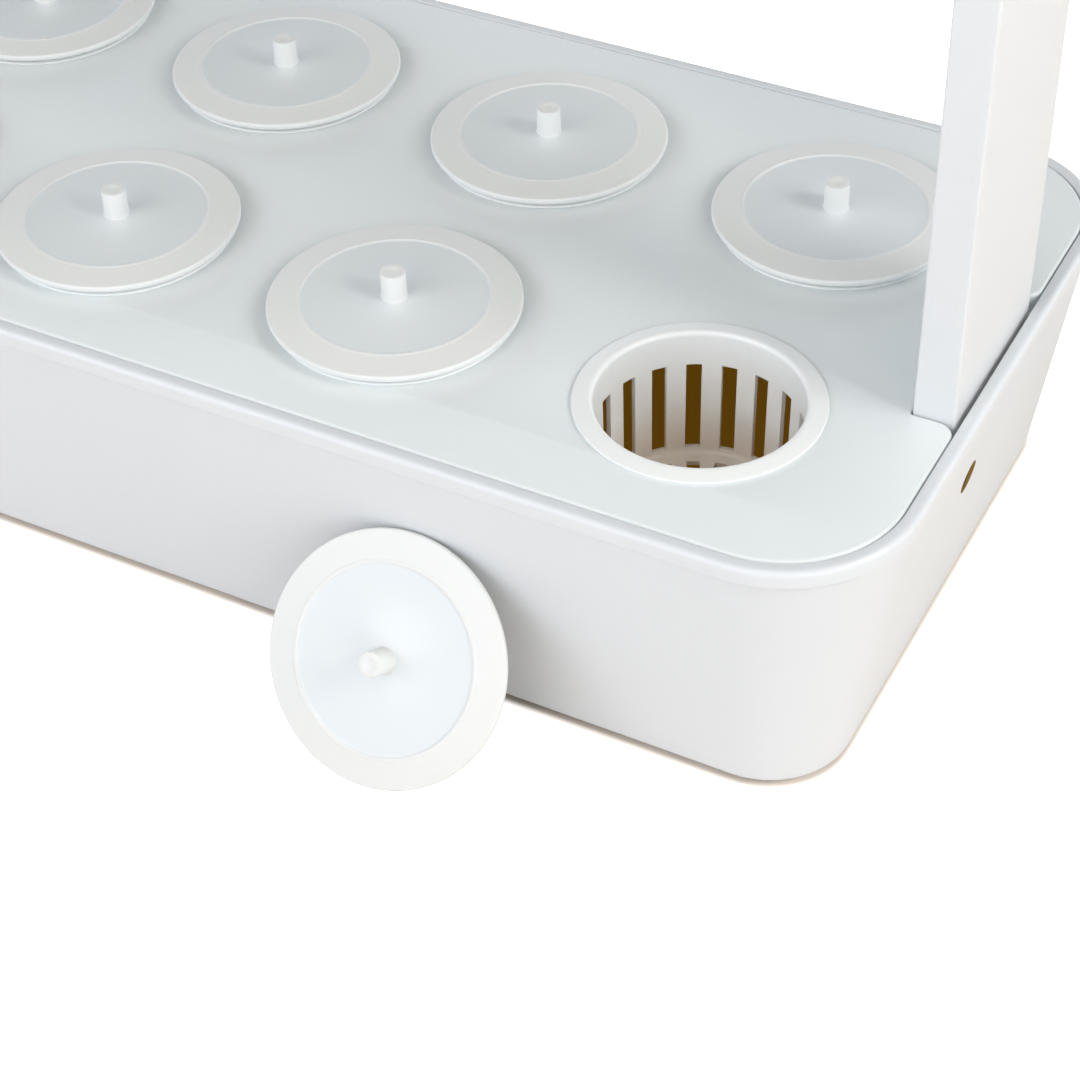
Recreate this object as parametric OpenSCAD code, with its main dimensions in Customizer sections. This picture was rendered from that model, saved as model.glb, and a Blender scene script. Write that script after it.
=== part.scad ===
/* [Layout] */
// Distance between neighbouring plant sites
pitch = 84.5; // [78:0.5:110]
// Last plant site to the end edge of the deck
end_margin = 58.75; // [56:0.25:80]
// Front row of plant sites to the front edge of the deck
front_margin = 46.75; // [40:0.25:70]
// Rear row of plant sites to the rear edge of the deck
rear_margin = 52.75; // [40:0.25:70]

/* [Reservoir] */
// Height of the basin from its underside to its rim
basin_h = 78; // [74:1:110]
// Width of the rim outside the deck
rim_band = 4; // [3.5:0.1:6]
// Height of the lip that runs round the rim
lip_h = 5; // [4:0.5:10]
// How far the wall under the lip stands back
lip_step = 1.2; // [0.6:0.1:2]
// How far each end wall draws in from the rim to the floor
end_taper = 11.5; // [8:0.1:14]
// How far each side wall draws in from the rim to the floor
side_taper = 9.1; // [6:0.1:12]
// Wall of the basin
wall = 2.4; // [2:0.1:3]
// Floor of the basin
floor_t = 2.6; // [2:0.1:4]
// Corner radius of the underside
base_r = 22; // [16:1:26]
// Rounding between the walls and the underside
base_round = 2.5; // [1.5:0.25:3]
// Diameter of a rubber foot
foot_d = 14; // [10:0.5:18]
// Thickness of a rubber foot
foot_t = 2.4; // [2:0.1:3]
// How far a foot stands out of the underside
foot_proud = 1; // [0.6:0.1:1.4]

/* [Deck] */
// Corner radius of the deck
deck_r = 31; // [26:0.5:40]
// Thickness of the deck plate
deck_t = 2.5; // [2:0.1:3.5]
// Height of the skirt round the deck, plate included
skirt_h = 5; // [4.5:0.1:8]
// Thickness of the deck's skirt, collars and ribs
web = 1.8; // [1.4:0.1:2.4]
// Gap between the deck and the rim
deck_gap = 0.4; // [0.3:0.05:0.8]
// Radius of the rounded mouth of each end notch
notch_r = 4.5; // [3:0.25:6]
// Space behind the post in its notch
notch_rear = 3; // [1:0.25:5]

/* [Net cup] */
// Radius of the cup's mouth inside
cup_r = 25.8; // [23:0.1:26.5]
// Wall of the cup
cup_wall = 1.4; // [1.2:0.1:2]
// Radius of the cup's flange
flange_r = 31.3; // [30:0.1:33]
// Height of the flange's crest above the deck
crest_h = 1.5; // [1:0.1:2.5]
// Depth of the cup under the deck's face
cup_h = 38; // [32:1:45]
// Solid collar above the cup's slots
collar_h = 8.5; // [5:0.25:10]
// Height of the cup's upright slots
slot_h = 26.5; // [18:0.5:27]
// Number of upright slots round the cup
slots = 18; // [10:1:24]
// Width of a slot
slot_w = 3.9; // [2.5:0.1:4.4]
// Width of a slot in the cup's floor
floor_slot_w = 3.4; // [2:0.1:3.8]
// Turn of each cup in its hole
cup_turn = 17.5; // [0:0.5:20]
// Draft of the cup's wall in degrees
cup_draft = 0.8; // [0.5:0.1:3]

/* [Cap] */
// Radius of the cap
cap_r = 32.5; // [31.5:0.1:34]
// Thickness of the cap at its rim
cap_t = 2.3; // [2:0.1:4]
// Radius of the step in the cap's face
step_r = 24.85; // [20:0.05:27]
// Depth of the stepped centre
step_h = 0.5; // [0.3:0.05:0.8]
// Height of the nub that the fingers pull
nub_h = 8.9; // [6:0.1:14]
// Radius of the nub at its foot
nub_r = 3.2; // [2.5:0.1:5]
// Depth of the ring under the cap that centres it in the cup
spigot_h = 4; // [3:0.25:6]
// Distance of the leaning cap from the middle of the front wall
lean_x = 74.2; // [-80:0.1:80]
// Angle of the leaning cap from upright
lean_tilt = 33; // [25:0.5:40]

/* [Posts and masts] */
// Width of a post across the garden
post_w = 53.4; // [40:0.1:60]
// Thickness of a post
post_t = 10.7; // [9:0.1:14]
// Wall of the hollow post
post_wall = 1.7; // [1.2:0.1:2.2]
// Post's outer face to the end edge of the deck
post_inset = 0.9; // [0.5:0.1:2]
// Height of a post above the deck
post_h = 212; // [150:1:320]
// Depth that a post stands in the basin's pocket
pocket_h = 12; // [8:1:16]
// Travel of the light above its lowest setting
light_travel = 110; // [60:5:140]
// Length of mast left in the post at the highest setting
mast_grip = 55; // [40:1:80]
// Height of the friction collar on a post
collar_t = 7; // [5:0.5:12]

/* [Grow light] */
// Width of the light hood
hood_w = 112; // [90:1:150]
// Height of the light hood
hood_h = 22; // [18:1:34]
// Corner radius of the light hood
hood_r = 26; // [16:1:34]
// Wall of the light hood
hood_wall = 2.2; // [1.8:0.1:3]
// Thickness of the diffuser
diffuser_t = 2; // [1.5:0.1:3]
// Number of light-emitting chips on a board
chips = 12; // [6:1:20]
// Diameter of the push button
button_d = 11; // [8:0.5:14]
// Travel of the push button
button_travel = 1.2; // [0.8:0.1:2]

/* [Pump and power] */
// Length of the pump
pump_l = 44; // [38:1:60]
// Width of the pump
pump_w = 30; // [26:1:32]
// Height of the pump's body
pump_h = 27; // [24:1:34]
// Radius of the pump's rotor chamber
chamber_r = 9.5; // [8:0.1:11]
// Distance of the pump's rear face from the middle of the basin
pump_x = 22; // [0:1:50]
// Height of the outlet pipe's mouth above the floor
outlet_h = 62; // [50:1:66]
// Diameter of the inlet hole in the end wall
inlet_d = 9; // [7:0.1:12]
// Height of the inlet above the counter
inlet_z = 51.5; // [46:0.5:54]
// Distance of the inlet in front of the post's middle
inlet_y = 11.6; // [8:0.1:20]

/* [Hidden] */
$fn = 96;

white = [0.93, 0.94, 0.93];
deck_white = [0.88, 0.9, 0.9];
clear = 0.3;
eps = 0.01;
rows = 2;
columns = 4;

// Plan sizes, all from the plant sites
deck_l = (columns - 1) * pitch + 2 * end_margin;
deck_w = (rows - 1) * pitch + front_margin + rear_margin;
row_shift = (front_margin - rear_margin) / 2;
rim_l = deck_l + 2 * rim_band;
rim_w = deck_w + 2 * rim_band;
rim_r = deck_r + rim_band;

// Heights, all from the counter
base_z = foot_proud;
rim_z = base_z + basin_h;
seat_z = rim_z - skirt_h;
lip_z = rim_z - lip_h;
floor_z = base_z + floor_t;

// Post places
post_x = deck_l / 2 - post_inset - post_t / 2;
post_z = seat_z - pocket_h;
post_top = rim_z + post_h;

// Plant site number n, counted along the front row and then along the rear row
function site_x(n) = ((n - 1) % columns - (columns - 1) / 2) * pitch;
function site_y(n) = (floor((n - 1) / columns) - (rows - 1) / 2) * pitch + row_shift;
sites = rows * columns;

// ---------- shared shapes ----------

// Flat outline: a rectangle with true round corners
module rounded_rect(l, w, r) {
    square([l - 2 * r, w], center = true);
    square([l, w - 2 * r], center = true);
    for (sx = [-1, 1], sy = [-1, 1])
        translate([sx * (l / 2 - r), sy * (w / 2 - r)])
            circle(r = r);
}

// One ring of points of a rounded rectangle at height z
ring_steps = 18;
function ring(z, l, w, r) = [
    for (q = [0:3], i = [0:ring_steps])
        let (a = 90 * q + 90 * i / ring_steps)
        let (cx = (q == 0 || q == 3 ? 1 : -1) * (l / 2 - r))
        let (cy = (q < 2 ? 1 : -1) * (w / 2 - r))
        [cx + r * cos(a), cy + r * sin(a), z]
];

// Solid skin through rings [z, length, width, corner radius], lowest ring first
module loft(rings) {
    n = 4 * (ring_steps + 1);
    last = len(rings) - 1;
    points = [for (s = rings) each ring(s[0], s[1], s[2], s[3])];
    sides = [
        for (k = [0:last - 1], i = [0:n - 1])
            let (j = (i + 1) % n)
            [k * n + j, k * n + i, (k + 1) * n + i, (k + 1) * n + j]
    ];
    low = [for (i = [0:n - 1]) i];
    high = [for (i = [n - 1:-1:0]) last * n + i];
    polyhedron(points = points, faces = concat(sides, [low, high]), convexity = 4);
}

// Copies for both ends: the second one is the mirror image of the first
module at_end(side) {
    mirror([side < 0 ? 1 : 0, 0, 0])
        children();
}

// Pan-head screw along +Z, with the underside of its head at the origin
module pan_screw(shank_r, head_r, length) {
    difference() {
        union() {
            translate([0, 0, -length])
                cylinder(r = shank_r, h = length + eps, $fn = 24);
            rotate_extrude($fn = 32)
                polygon([[0, 0], [head_r, 0], [head_r, head_r * 0.35],
                    [head_r * 0.8, head_r * 0.62], [0, head_r * 0.72]]);
        }
        for (a = [0, 90])
            rotate(a)
                translate([0, 0, head_r * 0.72])
                    cube([head_r * 1.1, head_r * 0.24, head_r * 0.7], center = true);
    }
}

// ---------- basin ----------

// Drafted wall size at height z: outer length, width and corner radius
function draft_at(z) = (lip_z - z) / (lip_z - base_z);
function out_l(z) = rim_l - 2 * lip_step - 2 * (end_taper - lip_step) * draft_at(z);
function out_w(z) = rim_w - 2 * lip_step - 2 * (side_taper - lip_step) * draft_at(z);
function out_r(z) = (rim_r - lip_step) + (base_r - rim_r + lip_step) * draft_at(z);

// One outer ring of the tub, drawn in by a bottom rounding of inset s
function out_ring(z, s) = [z, out_l(z) - 2 * s, out_w(z) - 2 * s, out_r(z) - s];

// The same for the water space, one wall further in
function in_ring(z, s) = out_ring(z, wall + s);

module tub_outside() {
    round_steps = 4;
    curve = [for (i = [0:round_steps])
        let (a = 90 * i / round_steps)
        out_ring(base_z + base_round * (1 - cos(a)), base_round * (1 - sin(a)))];
    loft(concat(curve, [out_ring(lip_z + eps, 0)]));
    lip_round = 1.4;
    lip_curve = [for (i = [0:3])
        let (a = 30 * i)
        [rim_z - lip_round * (1 - sin(a)),
            rim_l - 2 * lip_round * (1 - cos(a)),
            rim_w - 2 * lip_round * (1 - cos(a)),
            rim_r - lip_round * (1 - cos(a))]];
    loft(concat([[lip_z, rim_l - 0.8, rim_w - 0.8, rim_r - 0.4],
        [lip_z + 0.5, rim_l, rim_w, rim_r]], lip_curve));
}

module tub_inside() {
    curve_r = 5;
    curve = [for (i = [0:4])
        let (a = 90 * i / 4)
        in_ring(floor_z + curve_r * (1 - cos(a)), curve_r * (1 - sin(a)))];
    pocket_l = deck_l + 2 * deck_gap;
    pocket_w = deck_w + 2 * deck_gap;
    pocket_r = deck_r + deck_gap;
    loft(concat(curve, [in_ring(lip_z, 0),
        [lip_z + 0.2, pocket_l, pocket_w, pocket_r],
        [rim_z + 1, pocket_l, pocket_w, pocket_r]]));
}

// End pedestal inside the basin: it carries the post and holds the dry well
well_wall = 2.4;
tab_l = 10;
foot_in = post_x - post_t / 2 - tab_l;
pedestal_in = foot_in - clear - well_wall;
pedestal_w = post_w + 2 * (clear + well_wall + 2);

module pedestal() {
    translate([pedestal_in, -pedestal_w / 2, floor_z - 1])
        cube([rim_l / 2, pedestal_w, seat_z - floor_z + 1]);
}

// Dry space under the pocket, open at the underside and stepped to follow the draft
well_top = post_z - 4;
well_end = 8;
well_w = pedestal_w - 2 * well_end;
well_in = pedestal_in + well_wall;
well_z = [base_z, floor_z + 18, floor_z + 38, well_top];
well_side = [3, 0.6, 0.6];
function well_out(i) = out_l(well_z[i]) / 2 - wall - well_side[i];
module dry_well() {
    for (i = [0:2])
        translate([well_in, -well_w / 2, well_z[i] - eps])
            cube([well_out(i) - well_in, well_w, well_z[i + 1] - well_z[i] + eps]);
}

// Pocket for the post and the tab of its foot
module post_pocket() {
    translate([foot_in - clear, -post_w / 2 - clear, post_z])
        cube([tab_l + post_t + 2 * clear, post_w + 2 * clear, 30]);
}

tab_hole_y = post_w / 2 - 9;
tab_t = 4;
screw_r = 1.8;
screw_bite = 2.6;
wire_y = 14;
wire_hole_r = 3.2;
inlet_face = out_l(inlet_z) / 2;

// Upright ribs on the side walls that carry the deck's skirt
rib_t = 2.4;
rib_reach = 4.6;
rib_count = 4;
function rib_x(i) = (i - (rib_count - 1) / 2) * (deck_l - 2 * deck_r - 20) / (rib_count - 1);
module deck_ribs() {
    for (i = [0:rib_count - 1], sy = [-1, 1])
        translate([rib_x(i) - rib_t / 2, sy > 0 ? deck_w / 2 - rib_reach : -deck_w / 2 - 1, floor_z])
            cube([rib_t, rib_reach + 1, seat_z - floor_z]);
}

foot_x = out_l(base_z) / 2 - base_r;
foot_y = out_w(base_z) / 2 - base_r;
foot_seats = [[0, 0], [foot_x, foot_y], [-foot_x, foot_y], [-foot_x, -foot_y], [foot_x, -foot_y]];
foot_recess = foot_t - foot_proud;

// Cover of the right-hand well: it drops into a seat round the well's mouth
cover_t = 2;
cover_lap = 2.4;
cover_in = well_in - cover_lap;
cover_out = well_out(0) + cover_lap;
cover_w = pedestal_w - 1;
cover_gap = 0.2;
cover_hole_x = (well_in + well_out(0)) / 2;
cover_hole_y = well_w / 2 + well_end / 2 - 0.5;
cover_screw_r = 1.2;
cover_screw_l = 7;

module basin() {
    color(white)
    difference() {
        tub_outside();
        difference() {
            tub_inside();
            for (side = [-1, 1])
                at_end(side)
                    pedestal();
            deck_ribs();
        }
        for (side = [-1, 1])
            at_end(side) {
                dry_well();
                post_pocket();
                for (sy = [-1, 1])
                    translate([foot_in + tab_l / 2, sy * tab_hole_y, post_z - screw_bite])
                        cylinder(r = screw_r, h = screw_bite + 1, $fn = 32);
                translate([post_x, wire_y, well_top - 1])
                    cylinder(r = wire_hole_r, h = post_z - well_top + 2, $fn = 32);
            }
        // Power inlet bore and the lead's way in, right end only
        translate([0, -inlet_y, inlet_z])
            rotate([0, 90, 0])
                cylinder(r = inlet_d / 2, h = rim_l, $fn = 64);
        translate([0, grommet_y, grommet_z])
            rotate([0, 90, 0])
                cylinder(r = grommet_r, h = well_in + 5, $fn = 48);
        // Seats of the rubber feet and of the well cover
        for (p = foot_seats)
            translate([p[0], p[1], base_z - 1])
                cylinder(r = foot_d / 2 + 0.1, h = foot_recess + 1, $fn = 64);
        translate([cover_in - cover_gap, -cover_w / 2 - cover_gap, base_z - 1])
            cube([cover_out - cover_in + 2 * cover_gap, cover_w + 2 * cover_gap, cover_t + 1]);
        for (sy = [-1, 1])
            translate([cover_hole_x, sy * cover_hole_y, base_z])
                cylinder(r = cover_screw_r, h = cover_screw_l + 2, $fn = 32);
    }
}

module feet() {
    bevel = 0.8;
    color([0.82, 0.83, 0.83])
    for (p = foot_seats)
        translate([p[0], p[1], 0])
            rotate_extrude($fn = 48)
                polygon([[0, 0], [foot_d / 2 - bevel, 0], [foot_d / 2, bevel],
                    [foot_d / 2, foot_t], [0, foot_t]]);
}

// ---------- deck ----------

notch_in = post_x - post_t / 2 - clear;
notch_front = post_w / 2 + clear;
notch_back = post_w / 2 + notch_rear;

// End notch outline, grown by s on its three sides, with a rounded mouth
module notch_outline(s) {
    depth = deck_l / 2 - s - (notch_in - s);
    r = max(notch_r - s, 0.6);
    difference() {
        translate([notch_in - s, -notch_front - s - r])
            square([depth + r + 40, notch_front + notch_back + 2 * s + 2 * r]);
        for (sy = [-1, 1])
            translate([deck_l / 2 - s - r, sy > 0 ? notch_back + s + r : -notch_front - s - r])
                circle(r = r);
        for (y = [-notch_front - s - r - 1, notch_back + s])
            translate([notch_in - s - 1, y])
                square([depth + 1 - r, r + 1]);
    }
}

// Deck outline, drawn in by s
module deck_outline(s) {
    difference() {
        rounded_rect(deck_l - 2 * s, deck_w - 2 * s, deck_r - s);
        for (side = [-1, 1])
            mirror([side < 0 ? 1 : 0, 0])
                notch_outline(s);
    }
}

hole_r = cup_r + cup_wall + 0.5;
collar_depth = 5;
long_rib_y = 8;
long_rib_l = columns * pitch - 40;
rib_z = rim_z - deck_t - collar_depth;

module deck() {
    color(deck_white)
    difference() {
        union() {
            translate([0, 0, rim_z - deck_t])
                linear_extrude(deck_t)
                    deck_outline(0);
            translate([0, 0, seat_z])
                linear_extrude(skirt_h - deck_t + eps)
                    difference() {
                        deck_outline(0);
                        deck_outline(web);
                    }
            for (n = [1:sites])
                translate([site_x(n), site_y(n), rib_z])
                    cylinder(r = hole_r + web, h = collar_depth + eps);
            // Stiffening ribs between the columns and between the rows
            for (i = [0:columns - 2])
                translate([(i - (columns - 2) / 2) * pitch - web / 2, -deck_w / 2 + 1, rib_z])
                    cube([web, deck_w - 2, collar_depth + eps]);
            for (y = [-long_rib_y, long_rib_y])
                translate([-long_rib_l / 2, row_shift + y - web / 2, rib_z])
                    cube([long_rib_l, web, collar_depth + eps]);
        }
        for (n = [1:sites])
            translate([site_x(n), site_y(n), rim_z - 20])
                cylinder(r = hole_r, h = 40);
    }
}

// ---------- net cup ----------

cup_floor_t = 1.6;
cup_slope = tan(cup_draft);
cup_low_in = cup_r - cup_h * cup_slope;
cup_low_out = cup_low_in + cup_wall;
cup_land = 1;
mouth_round = 0.5;
flange_edge = 0.5;
cup_floor_round = 0.6;
floor_slot_out = cup_low_in - 3.7;
floor_slot_in = 14;
drain_r = 2.5;

module net_cup() {
    // Flange profile: a flat land at the crest, then an arc down to the outer edge
    land_r = cup_r + mouth_round + cup_land;
    arc_steps = 6;
    dome = [for (i = [0:arc_steps])
        let (t = i / arc_steps)
        [land_r + (flange_r - land_r) * t, crest_h - (crest_h - flange_edge) * t * t]];
    inside_low = cup_low_in + cup_floor_t * cup_slope;
    difference() {
        rotate_extrude()
            polygon(concat(
                [[0, -cup_h], [cup_low_out - cup_floor_round, -cup_h],
                    [cup_low_out, -cup_h + cup_floor_round],
                    [cup_r + cup_wall, 0], [flange_r - 0.2, 0]],
                [for (i = [arc_steps:-1:0]) dome[i]],
                [[cup_r + mouth_round, crest_h], [cup_r + mouth_round * 0.3, crest_h - mouth_round * 0.3],
                    [cup_r, crest_h - mouth_round], [cup_r, 0],
                    [inside_low, -cup_h + cup_floor_t + cup_floor_round],
                    [inside_low - cup_floor_round, -cup_h + cup_floor_t],
                    [0, -cup_h + cup_floor_t]]));
        for (i = [0:slots - 1])
            rotate(cup_turn + i * 360 / slots) {
                translate([cup_r / 2 + floor_slot_out / 2, -slot_w / 2, -collar_h - slot_h])
                    cube([cup_r / 2, slot_w, slot_h]);
                translate([floor_slot_in, -floor_slot_w / 2, -cup_h - 1])
                    cube([floor_slot_out - floor_slot_in, floor_slot_w, cup_floor_t + 2]);
            }
        translate([0, 0, -cup_h - 1])
            cylinder(r = drain_r, h = cup_floor_t + 2, $fn = 32);
    }
}

module net_cup_at(n) {
    color(white)
    translate([site_x(n), site_y(n), rim_z])
        net_cup();
}

// ---------- cap ----------

// Cap with its underside at the origin's height and its nub along +Z
cap_edge_w = 2.4;
cap_edge_h = 1.6;
cap_edge_low = 0.4;
bead_w = 0.8;
bead_h = 0.2;
spigot_wall = 1.4;
nub_draft = 0.25;
dish_r = 1.5;
dish_h = 0.7;
cap_face = cap_t - step_h;
spigot_out = cup_r - clear - spigot_h * cup_slope;
module cap() {
    nub_top = cap_face + nub_h;
    rim_curve = [for (i = [0:5])
        let (a = 18 * i)
        [cap_r - cap_edge_w * (1 - cos(a)), cap_t - cap_edge_h * (1 - sin(a))]];
    difference() {
        rotate_extrude()
            polygon(concat(
                [[0, 0], [spigot_out - spigot_wall, 0], [spigot_out - spigot_wall, -spigot_h + 0.4],
                    [spigot_out - spigot_wall + 0.4, -spigot_h], [spigot_out - 0.5, -spigot_h],
                    [spigot_out, -spigot_h + 0.6], [spigot_out, 0],
                    [cap_r - cap_edge_low, 0], [cap_r, cap_edge_low]],
                rim_curve,
                [[step_r + bead_w + 0.1, cap_t], [step_r + bead_w * 0.75, cap_t + bead_h],
                    [step_r + bead_w * 0.35, cap_t + bead_h], [step_r, cap_t],
                    [step_r - 0.2, cap_face],
                    [nub_r + 0.5, cap_face], [nub_r + 0.1, cap_face + 0.2], [nub_r, cap_face + 0.6],
                    [nub_r - nub_draft, nub_top - 0.5], [nub_r - nub_draft - 0.5, nub_top],
                    [0, nub_top]]));
        translate([0, 0, nub_top - dish_h])
            cylinder(r1 = dish_r * 0.6, r2 = dish_r, h = dish_h + eps, $fn = 32);
    }
}

// The loose cap stands on its edge and leans on the front wall
lean_n = 4;
lean_mid = cap_t / 2;
// Height of the tilted cap's middle: the lower of its two bottom corners meets the counter
lean_z = max((cap_r - cap_edge_low) * cos(lean_tilt) + lean_mid * sin(lean_tilt),
    cap_r * cos(lean_tilt) + (lean_mid - cap_edge_low) * sin(lean_tilt));
lean_touch_z = lean_z + cap_r * cos(lean_tilt) - lean_mid * sin(lean_tilt);
lean_y = -out_w(lean_touch_z) / 2 - cap_r * sin(lean_tilt) - lean_mid * cos(lean_tilt) - clear;

module cap_at(n) {
    color(white)
    if (n == lean_n)
        translate([lean_x, lean_y, lean_z])
            rotate([90 - lean_tilt, 0, 0])
                translate([0, 0, -lean_mid])
                    cap();
    else
        translate([site_x(n), site_y(n), rim_z + crest_h])
            cap();
}

// ---------- posts and masts ----------

bore_w = post_w - 2 * post_wall;
bore_t = post_t - 2 * post_wall;
mast_gap = 1.3;
glide = 0.2;
mast_w = bore_w - 2 * mast_gap;
mast_t = bore_t - 2 * mast_gap;
mast_wall = 1.2;
shoe_h = 12;
hood_z = post_top + collar_t + 1;
mast_socket = 14;
mast_top = hood_z + mast_socket;
mast_bottom = post_top - light_travel - mast_grip;

module post(side) {
    color(white)
    at_end(side)
    difference() {
        translate([post_x, 0, post_z])
            linear_extrude(post_top - post_z)
                difference() {
                    rounded_rect(post_t, post_w, 0.8);
                    square([bore_t, bore_w], center = true);
                }
        // Slot in the inboard wall that the foot's tab comes out of
        translate([post_x - post_t / 2 - 1, -neck_w / 2 - 0.2, post_z - 1])
            cube([post_wall + 2, neck_w + 0.4, tab_t + 1.2]);
    }
}

// Plug inside the post's lower end, with a tab that two screws hold down under the deck
plug_h = 40;
plug_gap = 0.1;
neck_w = 40;
module post_foot(side) {
    color([0.8, 0.81, 0.82])
    at_end(side)
    difference() {
        union() {
            translate([post_x - bore_t / 2 + plug_gap, -bore_w / 2 + plug_gap, post_z])
                cube([bore_t - 2 * plug_gap, bore_w - 2 * plug_gap, plug_h]);
            translate([foot_in, -post_w / 2 + clear, post_z])
                cube([tab_l - plug_gap, post_w - 2 * clear, tab_t]);
            translate([foot_in + 1, -neck_w / 2, post_z])
                cube([tab_l + 2, neck_w, tab_t]);
        }
        translate([post_x, wire_y, post_z - 1])
            cylinder(r = wire_hole_r - 0.4, h = plug_h + 2, $fn = 32);
        for (sy = [-1, 1])
            translate([foot_in + tab_l / 2, sy * tab_hole_y, post_z - 1])
                cylinder(r = screw_r + 0.2, h = tab_t + 2, $fn = 32);
    }
}

module post_screws() {
    color([0.7, 0.71, 0.73])
    for (side = [-1, 1], sy = [-1, 1])
        at_end(side)
            translate([foot_in + tab_l / 2, sy * tab_hole_y, post_z + tab_t])
                pan_screw(screw_r - 0.1, 3.6, tab_t + screw_bite - 0.2);
}

// Friction collar: a bezel on the post's top with a sleeve that grips the mast
sleeve_h = 14;
bezel_lap = 0.6;
module collar(side) {
    color(white)
    at_end(side)
    translate([post_x, 0, post_top])
        difference() {
            union() {
                linear_extrude(collar_t)
                    rounded_rect(post_t + 2 * bezel_lap, post_w + 2 * bezel_lap, 1.4);
                translate([0, 0, -sleeve_h])
                    linear_extrude(sleeve_h + eps)
                        square([bore_t - 2 * plug_gap, bore_w - 2 * plug_gap], center = true);
            }
            translate([0, 0, -sleeve_h - 1])
                linear_extrude(sleeve_h + collar_t + 2)
                    square([mast_t + 2 * glide, mast_w + 2 * glide], center = true);
        }
}

// Hollow mast with a shoe at its foot that runs in the post
module mast(side) {
    color([0.86, 0.87, 0.87])
    at_end(side)
    difference() {
        translate([post_x, 0, mast_bottom])
            difference() {
                union() {
                    linear_extrude(mast_top - mast_bottom)
                        square([mast_t, mast_w], center = true);
                    linear_extrude(shoe_h)
                        square([bore_t - 2 * glide, bore_w - 2 * glide], center = true);
                }
                translate([0, 0, -1])
                    linear_extrude(mast_top - mast_bottom + 2)
                        square([mast_t - 2 * mast_wall, mast_w - 2 * mast_wall], center = true);
            }
        for (sy = [-1, 1])
            translate([post_x, sy * hood_hole_y, hood_z + hood_screw_z])
                rotate([0, 90, 0])
                    cylinder(r = hood_screw_r, h = post_t, $fn = 32);
    }
}

// ---------- dry well, inlet ----------

cover_head_r = 2.2;
cover_sink = 1.1;
module well_cover() {
    color(white)
    difference() {
        translate([cover_in, -cover_w / 2, base_z])
            cube([cover_out - cover_in, cover_w, cover_t]);
        for (sy = [-1, 1])
            translate([cover_hole_x, sy * cover_hole_y, 0]) {
                cylinder(r = cover_screw_r + 0.2, h = 10, $fn = 32);
                cylinder(r = cover_head_r + 0.3, h = base_z + cover_sink, $fn = 32);
            }
    }
}

module cover_screws() {
    color([0.7, 0.71, 0.73])
    for (sy = [-1, 1])
        translate([cover_hole_x, sy * cover_hole_y, base_z + cover_sink])
            rotate([180, 0, 0])
                pan_screw(cover_screw_r - 0.1, cover_head_r, cover_screw_l);
}

inlet_len = 12;
inlet_sink = 1.2;
nut_t = 2.4;
nut_r = 6.4;
inlet_back = inlet_face - inlet_sink - inlet_len;
nut_x = well_out(2) - nut_t;

// Barrel power socket with a centre pin, set just inside the wall's face
module dc_inlet() {
    color([0.15, 0.15, 0.16])
    translate([inlet_back, -inlet_y, inlet_z])
        rotate([0, 90, 0]) {
            difference() {
                cylinder(r = inlet_d / 2 - 0.1, h = inlet_len, $fn = 64);
                translate([0, 0, 3])
                    cylinder(r = 2.75, h = inlet_len, $fn = 48);
            }
            translate([0, 0, 2.9])
                cylinder(r = 1.05, h = inlet_len - 4, $fn = 32);
            for (a = [60, 180, 300])
                rotate(a)
                    translate([2, -0.8, -3])
                        cube([0.6, 1.6, 3.1]);
        }
}

module inlet_nut() {
    color([0.7, 0.71, 0.73])
    translate([nut_x, -inlet_y, inlet_z])
        rotate([0, 90, 0])
            rotate(30)
            difference() {
                cylinder(r = nut_r, h = nut_t, $fn = 6);
                translate([0, 0, -1])
                    cylinder(r = inlet_d / 2, h = nut_t + 2, $fn = 64);
            }
}

// ---------- pump ----------

pump_y = row_shift;
sucker_h = 4;
pump_z = floor_z + sucker_h;
rotor_z = pump_z + pump_h / 2;
pump_front = pump_x - pump_l;
chamber_l = 26;
stub_x = pump_front + 8;
shaft_r = 1;
grille_t = 6;

module pump_body() {
    color([0.16, 0.17, 0.18])
    translate([0, pump_y, 0])
    difference() {
        union() {
            translate([pump_x - pump_l / 2, 0, pump_z])
                linear_extrude(pump_h)
                    rounded_rect(pump_l, pump_w, 5);
            translate([stub_x, 0, pump_z + pump_h - eps])
                cylinder(r = 4, h = 8, $fn = 48);
        }
        translate([pump_front - 1, 0, rotor_z])
            rotate([0, 90, 0])
                cylinder(r = chamber_r, h = 9, $fn = 64);
        translate([pump_front - 1, 0, rotor_z])
            rotate([0, 90, 0])
                cylinder(r = 6, h = chamber_l + 1, $fn = 64);
        translate([pump_front, 0, rotor_z])
            rotate([0, 90, 0])
                cylinder(r = shaft_r + 0.02, h = chamber_l + 3, $fn = 32);
        translate([stub_x - 2, 0, rotor_z])
            cylinder(r = 2.6, h = pump_h, $fn = 32);
        for (sx = [-1, 1], sy = [-1, 1])
            translate([pump_x - pump_l / 2 + sx * (pump_l / 2 - 7), sy * (pump_w / 2 - 7), pump_z - 1])
                cylinder(r = 1.6, h = 3.5, $fn = 24);
    }
}

module pump_grille() {
    color([0.13, 0.13, 0.14])
    translate([pump_front - grille_t, pump_y, rotor_z])
        rotate([90, 0, 90])
            difference() {
                union() {
                    linear_extrude(grille_t)
                        difference() {
                            rounded_rect(pump_w - 2, pump_h - 2, 4);
                            rounded_rect(pump_w - 5, pump_h - 5, 2.5);
                        }
                    linear_extrude(1.6)
                        rounded_rect(pump_w - 2, pump_h - 2, 4);
                    cylinder(r = 2.6, h = grille_t, $fn = 32);
                }
                for (i = [-3:3])
                    if (i != 0)
                        translate([i * 3.4 - 0.9, -8, -1])
                            cube([1.8, 16, 4]);
                translate([0, 0, 2])
                    cylinder(r = shaft_r + 0.02, h = grille_t, $fn = 32);
            }
}

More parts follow.
